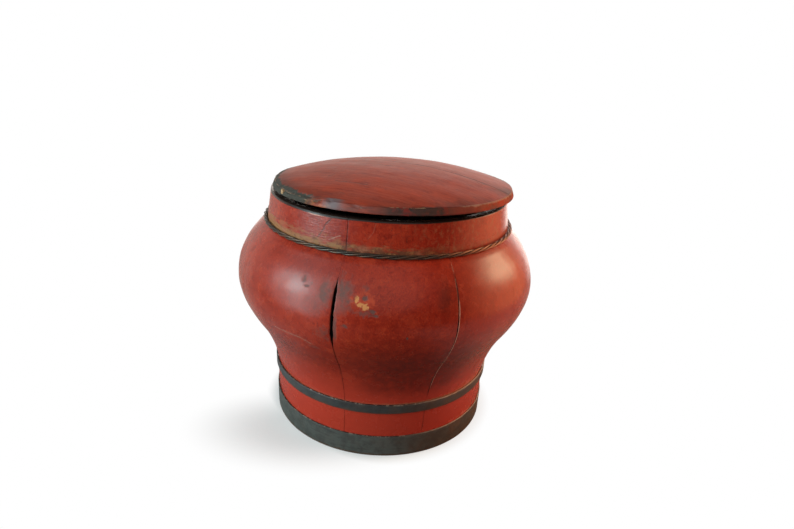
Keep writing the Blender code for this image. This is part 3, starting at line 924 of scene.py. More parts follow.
def grey_spots(wall):
    """Mask of small grey spots in the lacquer."""
    return largest(wall.tree, [
        wall.patch(-6.0, 0.2286, 0.0036, 0.0036, 2.6, 0.8, share=0.85),
        wall.patch(-6.3, 0.2382, 0.0046, 0.0040, 2.8, 1.0, share=0.5),
        wall.patch(-12.0, 0.1980, 0.0044, 0.0030, 2.6, 0.9, share=0.8),
        wall.patch(-3.4, 0.2160, 0.0042, 0.0034, 2.6, 0.8, share=0.85),
        wall.patch(-2.2, 0.2125, 0.0030, 0.0022, 2.6, 0.8, share=0.85),
        wall.patch(-5.6, 0.2140, 0.0150, 0.0040, 2.6, 1.0, share=0.6),
        wall.patch(-11.5, 0.2170, 0.0100, 0.0030, 2.6, 1.0, share=0.4),
        wall.patch(-28.6, 0.2366, 0.0036, 0.0034, 4.0, 0.6, 420.0, share=0.75),
        wall.patch(-27.0, 0.2310, 0.0042, 0.0014, 3.0, 0.6, 420.0, share=0.85),
        wall.patch(-25.2, 0.2352, 0.0012, 0.0012, 1.5, 0.6, share=0.6),
        wall.patch(8.0, 0.1890, 0.0012, 0.0014, 1.2),
    ])


def pale_scratches(wall):
    """Mask of dusty scratches on belly and collar."""
    tree, line = wall.tree, wall.line
    return largest(tree, [
        all_of(tree, line(0.0007, (-41.0, 0.1690), (-29.0, 0.1688), (-24.6, 0.1632)), 0.5),
        all_of(tree, line(0.0009, (-24.4, 0.2750), (-19.5, 0.2813)), 0.35),
        all_of(tree, line(0.0006, (-5.1, 0.2985), (-5.8, 0.2894), (-7.8, 0.2817)), 0.16),
    ])


def stave_cracks(wall, collar):
    """Mask of hairline cracks, most of them on the collar, with the long one at the left."""
    tree = wall.tree
    zigzag = wall.line(
        0.0014, (-23.6, 0.2990), (-26.6, 0.2902), (-27.0, 0.2861), (-28.9, 0.2780), (-30.9, 0.2715)
    )
    cracks = effect(
        tree, "hairline", wall.upright, Scale=120.0, Stretch=0.6, Width=0.03, Cover=0.50
    )
    cracks = all_of(tree, cracks, calc(tree, "ADD", 0.03, all_of(tree, collar, 0.6)))
    return largest(tree, [cracks, zigzag])


def neck_wear(wall, left, round_front):
    """Mask of the wear above the neck hoop, higher on the left."""
    tree = wall.tree
    above = calc(tree, "SUBTRACT", wall.height, wall.sizes.neck_height)
    reach = summed(tree, 0.0135, (left, 0.0030))
    smear = streaks(tree, wall.upright, (260.0, 70.0, 70.0), 5.0, 0.65)
    worn_up = calc(tree, "DIVIDE", above, reach)
    worn_up = summed(tree, worn_up, (calc(tree, "SUBTRACT", smear, 0.5), 2.6))
    fading = summed(tree, 0.18, (round_front, 0.62))
    return all_of(tree, fade(tree, worn_up, 1.0, 0.25), fading, fade(tree, above, -0.0012, 0.0))


def collar_rubs(wall):
    """Mask of rubbed spots on the right of the collar."""
    tree, neck = wall.tree, wall.sizes.neck_height
    spots = streaks(tree, wall.upright, (130.0, 190.0, 190.0), 6.0, 0.8)
    return all_of(
        tree,
        fade(tree, spots, 0.50, 0.62),
        wall.turned(2.0, 24.0),
        wall.turned(178.0, 130.0),
        wall.raised(neck, neck + 0.006),
    )


def hoop_rub(wall, h):
    """Mask of the rubbed line over the waist hoop."""
    tree, waist = wall.tree, wall.sizes.waist_height
    over_hoop = calc(tree, "SUBTRACT", wall.height, h.waist_low + h.waist_height)
    over_hoop = summed(tree, over_hoop, (calc(tree, "SUBTRACT", wall.blotch, 0.5), 0.005))
    return all_of(
        tree,
        fade(tree, over_hoop, 0.0024, 0.0008),
        wall.raised(waist - 0.01, waist - 0.005),
        summed(tree, 0.2, (wall.turned(-6.0, 18.0), 0.5)),
        wall.turned(178.0, 130.0),
        wall.turned(-178.0, -130.0),
    )


def painted_shade_under_lid(wall, left, round_front):
    """Mask of painted shade on the collar's upper edge under the lid, wider at the front and on the
    left.
    """
    tree = wall.tree
    reach = summed(tree, 0.0006, (round_front, 0.0010), (left, 0.0008))
    reach = summed(tree, calc(tree, "SUBTRACT", reach, 0.0006), (wall.blotch, 0.0012))
    below = calc(tree, "SUBTRACT", rim_height(), wall.height)
    return fade(tree, calc(tree, "SUBTRACT", below, reach), 0.0006, -0.0002)


def stave_lacquer(s, h, c):
    """Red lacquer of the staves, worn at the split and along joints and hoops, with painted shade
    under the lid and painted highlights on the gaping joint and the collar's rim.
    """
    material, tree, shader, place = new_material("stave_lacquer")
    wall = StaveWall(tree, place, s)
    left = all_of(tree, wall.turned(-8.0, -24.0), wall.turned(-178.0, -130.0))
    round_front = all_of(tree, wall.turned(40.0, 4.0), wall.turned(-178.0, -130.0))
    collar = wall.raised(s.neck_height, s.neck_height + 0.004)
    bare, chips, spots = bare_patches(wall), ochre_chips(wall), grey_spots(wall)
    neck = neck_wear(wall, left, round_front)
    cracks = stave_cracks(wall, collar)
    # Painted highlight on the worn edge of the gaping joint.
    rubbed = effect(
        tree, "worn_edge", wall.unrolled, Edge=attribute(tree, "arris"), Scale=150.0, Amount=0.80
    )
    shaded = wall.patch(20.6, 0.2290, 0.0150, 0.0230, 1.2, 1.0, 90.0, share=0.45)
    # Chipped rim of the collar at the left, made pale partly as a painted highlight on the rounded
    # edge.
    chipped = wall.patch(-31.5, rim_height() - 0.0028, 0.0160, 0.0007, 1.8, 0.6, 420.0)
    wood = blend(tree, wall.fibre, c.dark_wood, c.bare_wood)
    wood = lay(tree, wood, c.bare_wood, 0.65)
    yellow = summed(tree, speckle(tree, wall.upright, 210.0, 5.0, 0.7), (left, 0.14))
    rubbed_neck = blend(tree, fade(tree, yellow, 0.50, 0.62), c.neck_brown, c.neck_ochre)
    rubbed_neck = lay(tree, rubbed_neck, c.tan_wood_and_warm_light, fade(tree, wall.mottle, 0.54, 0.66))

    tint = sound_lacquer(wall, c)
    tint = lay(tree, tint, c.grime_and_shade, shaded)
    tint = lay(tree, tint, c.orange_red_and_warm_light, thin_patches(wall))
    tint = lay(tree, tint, c.tan_wood_and_warm_light, collar_rubs(wall), 0.6)
    tint = lay(tree, tint, c.grime_and_shade, cracks, 0.8)
    tint = lay(tree, tint, wood, bare, 0.9)
    tint = lay(tree, tint, rubbed_neck, neck)
    tint = lay(tree, tint, c.tan_wood_and_warm_light, hoop_rub(wall, h))
    tint = lay(tree, tint, c.dust_and_highlight, pale_scratches(wall))
    tint = lay(tree, tint, c.dark_wood, spots)
    tint = lay(tree, tint, c.ochre, chips)
    tint = lay(tree, tint, c.grime_and_shade, attribute(tree, "seam"), 0.85)
    tint = lay(tree, tint, c.pale_edge_highlight, rubbed)
    tint = lay(tree, tint, c.pale_edge_highlight, chipped)
    # Painted shade under the lid along the collar's top edge.
    tint = lay(tree, tint, c.grime_and_shade, painted_shade_under_lid(wall, left, round_front))

    worn = largest(tree, [bare, chips, spots, neck, rubbed])
    gloss = summed(tree, 0.15, (wall.mottle, 0.22), (worn, 0.35))
    wrinkles = streaks(tree, wall.upright, (900.0, 70.0, 70.0))
    relief = summed(
        tree,
        all_of(tree, wall.mottle, 0.30),
        (wall.broad, 0.8),
        (wall.fibre, 0.10),
        (wall.grit, 0.16),
        (largest(tree, [bare, chips, spots]), -0.25),
        (cracks, -0.12),
        (all_of(tree, wrinkles, collar, wall.turned(-14.0, -26.0)), 0.90),
    )
    shader.inputs["Specular IOR Level"].default_value = 0.28
    coat(tree, shader, tint, gloss, relief, 0.55, 0.0012)
    return material


class LidTop:
    """Places, noises and marks that the finish of the lid works with."""

    def __init__(self, tree, place):
        self.tree = tree
        self.place = place
        self.axes = put(tree, "SeparateXYZ", Vector=place).outputs
        self.rim = attribute(tree, "rim")
        self.turn = attribute(tree, "turn")
        self.broad = streaks(tree, place, (5.0, 22.0, 22.0), 4.0)
        self.mottle = speckle(tree, place, 70.0, 5.0, 0.62)
        self.blotch = streaks(tree, place, (60.0, 150.0, 150.0), 5.0, 0.7)
        self.fibre = fibre_lines(tree, place, 340.0, 7.0)

    def along_rim(self, start, end, soft):
        """Mask between two azimuths."""
        rising = fade(self.tree, self.turn, start - soft, start + soft)
        return all_of(self.tree, rising, fade(self.tree, self.turn, end + soft, end - soft))

    def rim_part(self, start, end, soft, width, ragged):
        """Mask of the rim between two azimuths, with a width on the dome."""
        near = band(self.tree, self.place, self.rim, -1.0, width, 0.0015, ragged, 150.0)
        return all_of(self.tree, self.along_rim(start, end, soft), near)


def lid_cracks(top):
    """Mask of cracks along the grain of the lid's boards."""
    tree, place = top.tree, top.place
    flat = put(tree, "CombineXYZ", X=top.axes["X"], Y=top.axes["Y"], Z=0.0).outputs[0]
    checks = fade(tree, fibre_lines(tree, place, 520.0, 9.0), 0.70, 0.745)
    fine = effect(tree, "hairline", place, Scale=150.0, Stretch=0.10, Width=0.03, Cover=0.40)
    long = largest(tree, [
        scratches(tree, flat, points, 0.0011)
        for points in (
            ((-0.0123, 0.0191, 0.0), (0.0141, 0.0198, 0.0), (0.0523, 0.0204, 0.0)),
            ((-0.0404, -0.0271, 0.0), (0.0089, -0.0240, 0.0)),
            ((-0.0420, -0.0881, 0.0), (-0.0385, -0.0798, 0.0)),
            ((-0.0250, -0.1000, 0.0), (0.0150, -0.0985, 0.0)),
        )
    ])
    return largest(tree, [all_of(tree, checks, 0.8), fine, long])


def sound_lid(top, d, c, cracks):
    """Colour of the lid inside its rim, with cracks and the boards' joint."""
    tree, mottle, blotch = top.tree, top.mottle, top.blotch
    streak = fade(tree, fibre_lines(tree, top.place, 120.0, 3.0), 0.52, 0.72)
    smudge = fade(tree, top.broad, 0.66, 0.40)
    off_joint = calc(tree, "ABSOLUTE", calc(tree, "SUBTRACT", top.axes["Y"], d.joint_offset))
    joint = fade(tree, summed(tree, off_joint, (mottle, 0.0012)), 0.0021, 0.0008)
    tint = blend(tree, fade(tree, top.broad, 0.34, 0.64), c.deep_red_and_shade, c.red)
    tint = lay(tree, tint, c.lid_brown, 0.6)
    tint = lay(tree, tint, c.orange_red_and_warm_light, fade(tree, mottle, 0.48, 0.75), 0.6)
    tint = lay(tree, tint, c.faded_red, streak, 0.5)
    tint = lay(tree, tint, c.deep_red_and_shade, fade(tree, top.fibre, 0.55, 0.38), 0.40)
    tint = lay(tree, tint, c.deep_red_and_shade, fade(tree, blotch, 0.48, 0.34), 0.55)
    tint = lay(tree, tint, c.orange_red_and_warm_light, fade(tree, blotch, 0.56, 0.68), 0.60)
    tint = lay(tree, tint, c.grime_and_shade, fade(tree, top.rim, 0.026, 0.002), smudge, 0.55)
    tint = lay(tree, tint, c.grime_and_shade, cracks, 0.7)
    return lay(tree, tint, c.grime_and_shade, joint, 0.75)


def worn_rim(top, d, c, tint, worn, right):
    """Colour of the lid with its rim: tan on the right, dark in front, weathered on the left, and a
    grey haze with a painted reflection just after the worn part.
    """
    tree, mottle, rim_part, end = top.tree, top.mottle, top.rim_part, d.worn_end
    tan = blend(tree, fade(tree, mottle, 0.42, 0.6), c.tan_wood_and_warm_light, c.orange_red_and_warm_light)
    dirt = fade(tree, speckle(tree, top.place, 260.0, 4.0, 0.7), 0.52, 0.62)
    dark = blend(tree, fade(tree, mottle, 0.46, 0.62), c.rim_brown, c.deep_red_and_shade)
    dark = lay(tree, dark, c.grime_and_shade, dirt)
    weathered = blend(tree, fade(tree, top.fibre, 0.3, 0.7), c.grime_and_shade, c.weathered)
    weathered = lay(tree, weathered, c.weathered, 0.55)
    weathered = lay(tree, weathered, c.tan_wood_and_warm_light, fade(tree, mottle, 0.58, 0.66), 0.25)
    streaky = fade(tree, fibre_lines(tree, top.place, 420.0, 30.0), 0.50, 0.58)
    ragged = fade(tree, speckle(tree, top.place, 210.0, 4.0, 0.7), 0.47, 0.54)
    tint = lay(tree, tint, tan, right, summed(tree, -0.1, (mottle, 0.8)))
    tint = lay(tree, tint, c.deep_red_and_shade, rim_part(20.0, 36.0, 5.0, 0.0004, 0.004), 0.5)
    tint = lay(tree, tint, dark, rim_part(-4.0, 24.0, 4.0, 0.0004, 0.004), 0.92)
    tint = lay(tree, tint, dark, rim_part(3.0, 21.0, 4.0, 0.0022, 0.006), 0.7)
    tint = lay(tree, tint, c.grime_and_shade, rim_part(-22.0, -7.0, 4.0, 0.001, 0.004), streaky, 0.3)
    # Grey haze and painted reflection on the rim just after the worn part.
    tint = lay(tree, tint, c.bloom_and_sheen, rim_part(end + 6.0, end + 14.0, 3.0, 0.0050, 0.006), 0.8)
    tint = lay(tree, tint, weathered, worn)
    tint = lay(tree, tint, tan, rim_part(end - 2.0, end + 7.0, 2.0, 0.002, 0.006), ragged, 0.35)
    splinters = rim_part(end - 4.0, end + 9.0, 3.0, -0.0045, 0.005)
    return lay(tree, tint, c.ochre, splinters, ragged, 0.22)


def lid_lacquer(d, c):
    """Red lacquer of the lid, with the grain of its boards, a worn rim and a painted highlight
    along the right arris.
    """
    material, tree, shader, place = new_material("lid_lacquer", own_place=True)
    top = LidTop(tree, place)
    cracks = lid_cracks(top)
    worn = top.rim_part(d.worn_start, d.worn_end, 5.0, 0.0050, 0.013)
    right = top.rim_part(24.0, 175.0, 9.0, -0.0004, 0.004)
    arris = effect(
        tree, "worn_edge", place, Edge=attribute(tree, "arris"), Scale=170.0, Amount=0.60
    )
    tint = sound_lid(top, d, c, cracks)
    tint = worn_rim(top, d, c, tint, worn, right)
    # Painted highlight along the right arris, in a light colour on the worn edge.
    tint = lay(tree, tint, c.dust_and_highlight, arris, 0.4)
    rough = largest(tree, [worn, right, arris])
    left = top.along_rim(-120.0, d.worn_end + 3.0, 3.0)
    matt = all_of(tree, fade(tree, top.rim, 0.004, 0.0), left)
    gloss = summed(tree, 0.50, (top.mottle, 0.18), (rough, 0.30), (matt, 0.16))
    relief = summed(
        tree,
        all_of(tree, top.mottle, 0.25),
        (top.broad, 0.7),
        (top.fibre, 0.22),
        (top.blotch, 0.12),
        (cracks, -0.25),
        (worn, -0.2),
    )
    shader.inputs["Specular IOR Level"].default_value = 0.36
    coat(tree, shader, tint, gloss, relief, 0.55, 0.0012)
    return material


def plain_wood(name, run, c, own_place=False):
    """Bare softwood whose grain runs along one axis."""
    material, tree, shader, place = new_material(name, own_place)
    axes = put(tree, "SeparateXYZ", Vector=place).outputs
    order = {"X": ("X", "Y", "Z"), "Y": ("Y", "X", "Z"), "Z": ("Z", "X", "Y")}[run]
    grain = put(tree, "CombineXYZ", X=axes[order[0]], Y=axes[order[1]], Z=axes[order[2]])
    fibre = fibre_lines(tree, grain.outputs[0], 300.0, 6.0)
    figure = fibre_lines(tree, grain.outputs[0], 70.0, 3.0)
    stain = speckle(tree, place, 18.0, 4.0)
    tint = blend(tree, fade(tree, figure, 0.35, 0.65), c.bare_wood, c.inside_wood)
    tint = lay(tree, tint, c.bare_wood, fade(tree, fibre, 0.5, 0.3), 0.5)
    tint = lay(tree, tint, c.grime_and_shade, fade(tree, stain, 0.5, 0.75), 0.18)
    gloss = summed(tree, 0.58, (fibre, 0.2))
    coat(tree, shader, tint, gloss, summed(tree, fibre, (figure, 0.5)), 0.5, 0.0006)
    return material


def dirty_joint(c):
    """Blackened wood deep in the joints."""
    material, tree, shader, place = new_material("dirty_joint")
    blot = speckle(tree, place, 240.0, 4.0)
    tint = blend(tree, fade(tree, blot, 0.62, 0.8), c.joint_dirt, c.grime_and_shade)
    gloss = summed(tree, 0.75, (blot, 0.2))
    shader.inputs["Specular IOR Level"].default_value = 0.1
    coat(tree, shader, tint, gloss, fibre_lines(tree, place, 300.0, 300.0), 0.4, 0.0004)
    return material


def split_bamboo(c):
    """Bamboo of pins and pegs."""
    material, tree, shader, place = new_material("split_bamboo")
    fibre = fibre_lines(tree, place, 900.0, 90.0)
    blot = speckle(tree, place, 160.0, 4.0)
    tint = blend(tree, fade(tree, fibre, 0.3, 0.7), c.tan_wood_and_warm_light, c.bamboo)
    tint = lay(tree, tint, c.bare_wood, fade(tree, blot, 0.55, 0.75), 0.4)
    coat(tree, shader, tint, summed(tree, 0.42, (blot, 0.25)), fibre, 0.4, 0.0003)
    return material


def dark_iron(name, base, low, high, c):
    """Old iron strip with rust, rust along its lower edge, and a dark line with light crumbs along
    its upper edge; the dark line is painted shade.
    """
    material, tree, shader, place = new_material(name)
    axes = put(tree, "SeparateXYZ", Vector=place).outputs
    across, height = axes["X"], axes["Z"]
    span = high - low
    cloud = speckle(tree, place, 45.0, 5.0, 0.62)
    pits = speckle(tree, place, 420.0, 4.0, 0.6)
    patina = speckle(tree, place, 95.0, 5.0, 0.68)
    drawn = streaks(tree, place, (30.0, 30.0, 420.0))
    right = summed(tree, 0.25, (fade(tree, across, -0.02, 0.13), 0.9))
    rusty = all_of(tree, fade(tree, cloud, 0.46, 0.72), right)
    lower = band(tree, place, height, low - span, low + 0.06 * span, 0.002, 0.007, 130.0)
    lower = all_of(tree, lower, 0.75)
    upper = band(tree, place, height, high - 0.0004, high + span, 0.0004, 0.0016, 240.0)
    specks = fade(tree, speckle(tree, place, 520.0, 3.0, 0.7), 0.68, 0.74)
    crumbs = fade(tree, speckle(tree, place, 240.0, 4.0, 0.7), 0.52, 0.60)
    crumbs = largest(tree, [all_of(tree, crumbs, 0.6), fade(tree, across, 0.02, 0.10)])
    # Along the upper edge: painted shade in a dark line, broken by light crumbs of real dirt.
    edge_shade_and_crumbs = blend(tree, crumbs, c.grime_and_shade, c.dust_and_highlight)
    tint = lay(tree, base, c.grime_and_shade, fade(tree, patina, 0.62, 0.36), 0.35)
    tint = lay(tree, tint, c.rust, rusty)
    tint = lay(tree, tint, c.rust, fade(tree, across, 0.01, 0.07), 0.45)
    tint = lay(tree, tint, c.grime_and_shade, fade(tree, drawn, 0.5, 0.8), 0.35)
    tint = lay(tree, tint, c.rust, lower)
    tint = lay(tree, tint, edge_shade_and_crumbs, upper, 0.8)
    tint = lay(tree, tint, c.dust_and_highlight, specks, 0.3)
    dull = largest(tree, [rusty, lower])
    join(tree, shader.inputs["Metallic"], summed(tree, 0.45, (dull, -0.3)))
    gloss = summed(tree, 0.28, (pits, 0.16), (dull, 0.2))
    relief = summed(tree, all_of(tree, pits, 0.35), (cloud, 1.0))
    coat(tree, shader, tint, gloss, relief, 0.4, 0.0008)
    return material


def twisted_wire(c):
    """Dull wire of the neck hoop, darker between its strands, with painted warm light on its right
    side.
    """
    material, tree, shader, place = new_material("twisted_wire")
    across = put(tree, "SeparateXYZ", Vector=place).outputs["X"]
    cloud = speckle(tree, place, 80.0, 5.0, 0.6)
    fine = speckle(tree, place, 700.0, 3.0)
    tint = blend(tree, fade(tree, cloud, 0.4, 0.68), c.wire, c.rust)
    # Painted warm light: the wire turns tan on its right side.
    tint = lay(tree, tint, c.tan_wood_and_warm_light, fade(tree, across, 0.02, 0.12), 0.6)
    # Darker on the inner sides of the strands, between them.
    tint = lay(tree, tint, c.grime_and_shade, fade(tree, attribute(tree, "crown"), 0.55, 0.1), 0.85)
    tint = lay(tree, tint, c.dust_and_highlight, fade(tree, fine, 0.6, 0.7), 0.3)
    join(tree, shader.inputs["Metallic"], summed(tree, 0.95, (cloud, -0.5)))
    coat(tree, shader, tint, summed(tree, 0.30, (fine, 0.25)), fine, 0.4, 0.0003)
    return material


# Pieces ------------------------------------------------------------------------------------

SPLIT_JOINT = 1
GAPING_JOINT = 2
TIGHT_JOINTS = (0, 3)


def joint_opening(s, joint, height):
    """How far a stave joint has opened at a height; joints count from the left front one."""
    if joint == SPLIT_JOINT:
        low_end = (s.split_low, s.split_low + 0.020)
        whole = between(height, low_end, (s.split_high, s.split_high - 0.016))
        ragged = 1.0 + 0.45 * wander((0.0, 0.0, height), 0.005, 4.0)
        return s.split_width * whole * ragged - s.joint_closing * (1.0 - whole)
    if joint == GAPING_JOINT:
        low_end = (s.gape_low, s.gape_low + 0.010)
        whole = between(height, low_end, (s.gape_high, s.gape_high - 0.014))
        gape = s.gape_width + 0.0003 * wander((0.0, 0.0, height), 0.02, 6.0)
        return gape * whole - s.joint_closing
    tighter = 0.00004 if joint in TIGHT_JOINTS else 0.0
    return -s.joint_closing - tighter


def joint_wear(s, joint, height):
    """How rounded and dirty a stave joint is at a height, from 0 to 1."""
    on_collar = ease(height, s.neck_height - 0.001, s.neck_height + 0.001)
    if joint == SPLIT_JOINT:
        below = 0.35 * ease(height, s.split_high, s.split_low)
        low_end = (s.split_low - 0.01, s.split_low + 0.01)
        split = between(height, low_end, (s.split_high + 0.004, s.split_high - 0.006))
        return max(below, split, 0.8 * on_collar)
    if joint == GAPING_JOINT:
        low_end = (s.gape_low - 0.006, s.gape_low + 0.006)
        wall = between(height, low_end, (s.gape_high + 0.004, s.gape_high - 0.010))
        stub = 0.5 * on_collar * ease(height, s.neck_height + 0.016, s.neck_height + 0.010)
        foot = 0.6 * between(height, (0.030, 0.034), (0.066, 0.062))
        return max(0.12 + 0.88 * wall, stub, foot)
    return 0.05 if joint in TIGHT_JOINTS else 0.30


def edge_distances(width):
    """Columns across a stave as distances from its first edge, close together at both edges."""
    near = (0.0, 0.0002, 0.00045, 0.0008, 0.0014, 0.0025, 0.0044)
    widest = 0.005
    inside = width - 2 * near[-1]
    count = math.ceil(inside / widest)
    middle = [near[-1] + inside * k / count for k in range(1, count)]
    return list(near) + middle + [width - d for d in reversed(near)]


def worked_face(s, number, joint, point, near):
    """How far the outside of a stave stands out at a point, by its distance from a joint."""
    level_reach, sunken_reach = 0.006, 0.004
    height = point.z
    proud = s.proud * math.sin(2.4 * number + 0.6)
    rough = wander(point, 0.05, 1.0 + number) + 0.4 * wander(point, 0.018, 2.0 + number)
    level = 1.0 - math.exp(-near / level_reach) if joint in TIGHT_JOINTS else 1.0
    free = between(height, (0.082, 0.10), (s.ledge_height, s.ledge_height - 0.02))
    arris = s.arris * joint_wear(s, joint, height)
    rounded = arris - math.sqrt(arris**2 - (arris - near) ** 2) if near < arris else 0.0
    sunken = 0.25 * max(0.0, joint_opening(s, joint, height)) * math.exp(-near / sunken_reach)
    return (s.unevenness * rough + proud) * level * free - rounded - sunken


def stave_mesh(number, s):
    """One stave with rounded long edges, a hand-worked face and its open joints."""
    opening_reach, seam_reach = 0.012, 0.0006
    # A pale line along the gaping joint's edge, kept as the arris mark: a painted highlight on the
    # worn edge.
    highlight_place, highlight_width = 0.0009, 0.0004
    scraped_above = 0.05
    rim = rim_height()
    outer = outer_wall(s)
    section = [(r, z, True) for r, z in outer]
    section += [(r, z, False) for r, z in reversed(inner_wall(s))]
    first, last = joint_lines("stave_%02d" % (number + 1))
    following = (number + 1) % len(STAVES)

    def edge(line, height):
        return line[0] + (line[1] - line[0]) * height / rim

    wide = edge(last, s.belly_height) - edge(first, s.belly_height)
    width = math.radians(wide) * s.belly_radius
    rings, seams, worn_edge_highlights = [], [], []
    for distance in edge_distances(width):
        near = min(distance, width - distance)
        joint = number if distance < width / 2 else following
        highlight_across = math.exp(-(((distance - highlight_place) / highlight_width) ** 2))
        ring = []
        for radius, height, outside in section:
            low, high = edge(first, height), edge(last, height)
            opened = joint_opening(s, number, height) * math.exp(-distance / opening_reach)
            far = math.exp(-(width - distance) / opening_reach)
            opened -= joint_opening(s, following, height) * far
            azimuth = low + (high - low) * distance / width + math.degrees(opened / 2 / radius)
            point = around(radius, azimuth, height)
            if outside:
                radius += worked_face(s, number, joint, point, near)
            elif height > scraped_above:
                radius += 0.4 * s.unevenness * wander(point, 0.03, 5.0 + number)
            ring.append(around(radius, azimuth, height))
            wear = joint_wear(s, joint, height) if outside else 0.0
            seams.append(wear * math.exp(-near / seam_reach))
            # Painted highlight along the gaping joint's edge.
            pale = highlight_across * between(height, (0.085, 0.115), (0.232, 0.216))
            worn_edge_highlights.append(pale if number == GAPING_JOINT else 0.0)
        rings.append(ring)
    mesh = mesh_of(swept(rings, False))
    mark(mesh, "seam", seams)
    mark(mesh, "arris", worn_edge_highlights)
    lacquered = len(outer)
    for polygon in mesh.polygons:
        rows = [index % len(section) for index in polygon.vertices]
        face = polygon.loop_total == 4 and max(rows) <= lacquered and min(rows) < lacquered
        polygon.material_index = 0 if face and max(rows) - min(rows) < 3 else 1
        if polygon.loop_total > 4:
            polygon.material_index = 2
    return mesh


def strand_mesh(number, s, h):
    """One strand of the neck hoop, laid round the others."""
    play, slack = 0.0001, 0.0002
    sides, steps = 12, h.lay_turns * 18
    reach = h.lay_radius + h.strand_radius + play
    run = s.ledge_radius - s.collar_radius
    fall = s.neck_height - s.ledge_height
    lean = (s.collar_radius - s.rim_radius) / (rim_height() - s.neck_height)
    slant = math.hypot(1.0, lean)
    above = reach * (math.hypot(run, fall) - fall * slant) / (run - lean * fall)
    ring_radius = s.collar_radius + reach * slant - lean * above
    ring_height = s.neck_height + above
    phase = 2 * math.pi * number / 3
    path = []
    for step in range(steps):
        turn = 2 * math.pi * step / steps
        loose = slack * wander((10.0 * math.cos(turn), 10.0 * math.sin(turn), 0.0), 1.3, number)
        twist = h.lay_turns * turn + phase
        radius = ring_radius + (h.lay_radius + loose) * math.cos(twist)
        height = ring_height + (h.lay_radius + loose) * math.sin(twist)
        path.append((radius, math.degrees(turn), height))
    points = [around(*place) for place in path]
    rings, crowns = [], []
    for step in range(steps):
        ahead = (points[(step + 1) % steps] - points[step - 1]).normalized()
        side = ahead.cross(Vector((0.0, 0.0, 1.0))).normalized()
        rise = side.cross(ahead)
        middle = around(ring_radius, path[step][1], ring_height)
        ring = []
        for k in range(sides):
            turn = 2 * math.pi * k / sides
            point = points[step] + h.strand_radius * (side * math.cos(turn) + rise * math.sin(turn))
            ring.append(point)
            away = (point - middle).length / (h.lay_radius + h.strand_radius)
            crowns.append(ease(away, 0.45, 1.0))
        rings.append(ring)
    mesh = mesh_of(swept(rings, True))
    mark(mesh, "crown", crowns)
    return mesh


def strip_sizes(h, part):
    """Low edge, height, thickness, flare and azimuth of the lap of an iron strip."""
    sizes = ("low", "height", "thickness", "flare", "lap")
    return [getattr(h, part + "_" + size) for size in sizes]


def strip_mesh(s, h, part, seed):
    """Iron strip round the wood with lapped ends."""
    low, height, thickness, flare, lap_azimuth = strip_sizes(h, part)
    cad_facet, step, row = 7.5, 1.5, 0.003
    outer = outer_wall(s)
    levels = [low + height * k / 8 for k in range(9)]
    base = max(radius_at(outer, z) - flare * (z - low) for z in levels) + h.clearance
    base /= math.cos(math.radians(cad_facet / 2))
    lap = math.degrees(h.lap / base)
    jog = math.degrees(h.jog / base)
    edge = min(0.0007, thickness * 0.4)
    eased = 0.3 * edge
    rows = max(4, math.ceil(height / row))
    section = [(0.0, 0.0), (thickness - edge, 0.0), (thickness - eased, eased)]
    section += [(thickness, edge + (height - 2 * edge) * k / rows) for k in range(rows + 1)]
    section += [(thickness - eased, height - eased), (thickness - edge, height), (0.0, height)]
    plain = 360.0 - jog
    steps = math.ceil(plain / step)
    turns = [plain * k / steps for k in range(steps + 1)]
    turns += [360.0 - jog * (1 - k / 8) for k in range(1, 9)]
    turns += [360.0 + lap * k / 12 for k in range(1, 13)]
    off_ground = ease(low, 0.0, 0.01)
    rings = []
    for turn in turns:
        azimuth = lap_azimuth + turn
        lift = (thickness + h.clearance) * ease(turn, plain, 360.0 - 0.15 * jog)
        wave = h.waviness * wander(around(base, azimuth, 0.0), 0.045, seed + 7.0)
        ring = []
        for depth, rise in section:
            dent = h.waviness * wander(around(base, azimuth, low + rise), 0.022, seed)
            front = depth / thickness
            radius = base + depth + flare * rise + lift + max(0.0, 0.6 * dent) * front
            ring.append(around(radius, azimuth, low + rise + wave * off_ground))
        rings.append(ring)
    return mesh_of(swept(rings, False))


def rivet_mesh(radius, rise, seed):
    """Hammered rivet head on a short shank, standing on Z = 0."""
    shank, shank_radius = -0.0024, radius * 0.5
    section = [(0.0, rise)]
    for k in range(1, 7):
        turn = math.pi / 2 * k / 6
        section.append((radius * math.sin(turn), rise * (0.15 + 0.85 * math.cos(turn))))
    section += [(radius, 0.0), (shank_radius, 0.0), (shank_radius, shank), (0.0, shank)]
    bm = lathe(section, 28)
    for vert in bm.verts:
        if vert.co.z > 0.0:
            vert.co.z *= 1.0 + 0.10 * wander(vert.co, 0.002, seed)
    return mesh_of(bm)


def lid_matrix(d):
    """Place of the lid on the bucket."""
    drop = d.radius * math.sin(math.hypot(d.tilt, d.tilt_across))
    seat = Vector((d.shift_x, d.shift_y, rim_height() + d.clearance + drop))
    lean = Matrix.Rotation(d.tilt, 4, "X") @ Matrix.Rotation(d.tilt_across, 4, "Y")
    return Matrix.Translation(seat) @ lean @ Matrix.Rotation(d.grain, 4, "Z")


def lid_azimuth(d, x, y):
    """Azimuth on the standing bucket of a point of the lid before it is drawn in across."""
    return azimuth_of(Matrix.Rotation(d.grain, 2) @ Vector((x, y)))


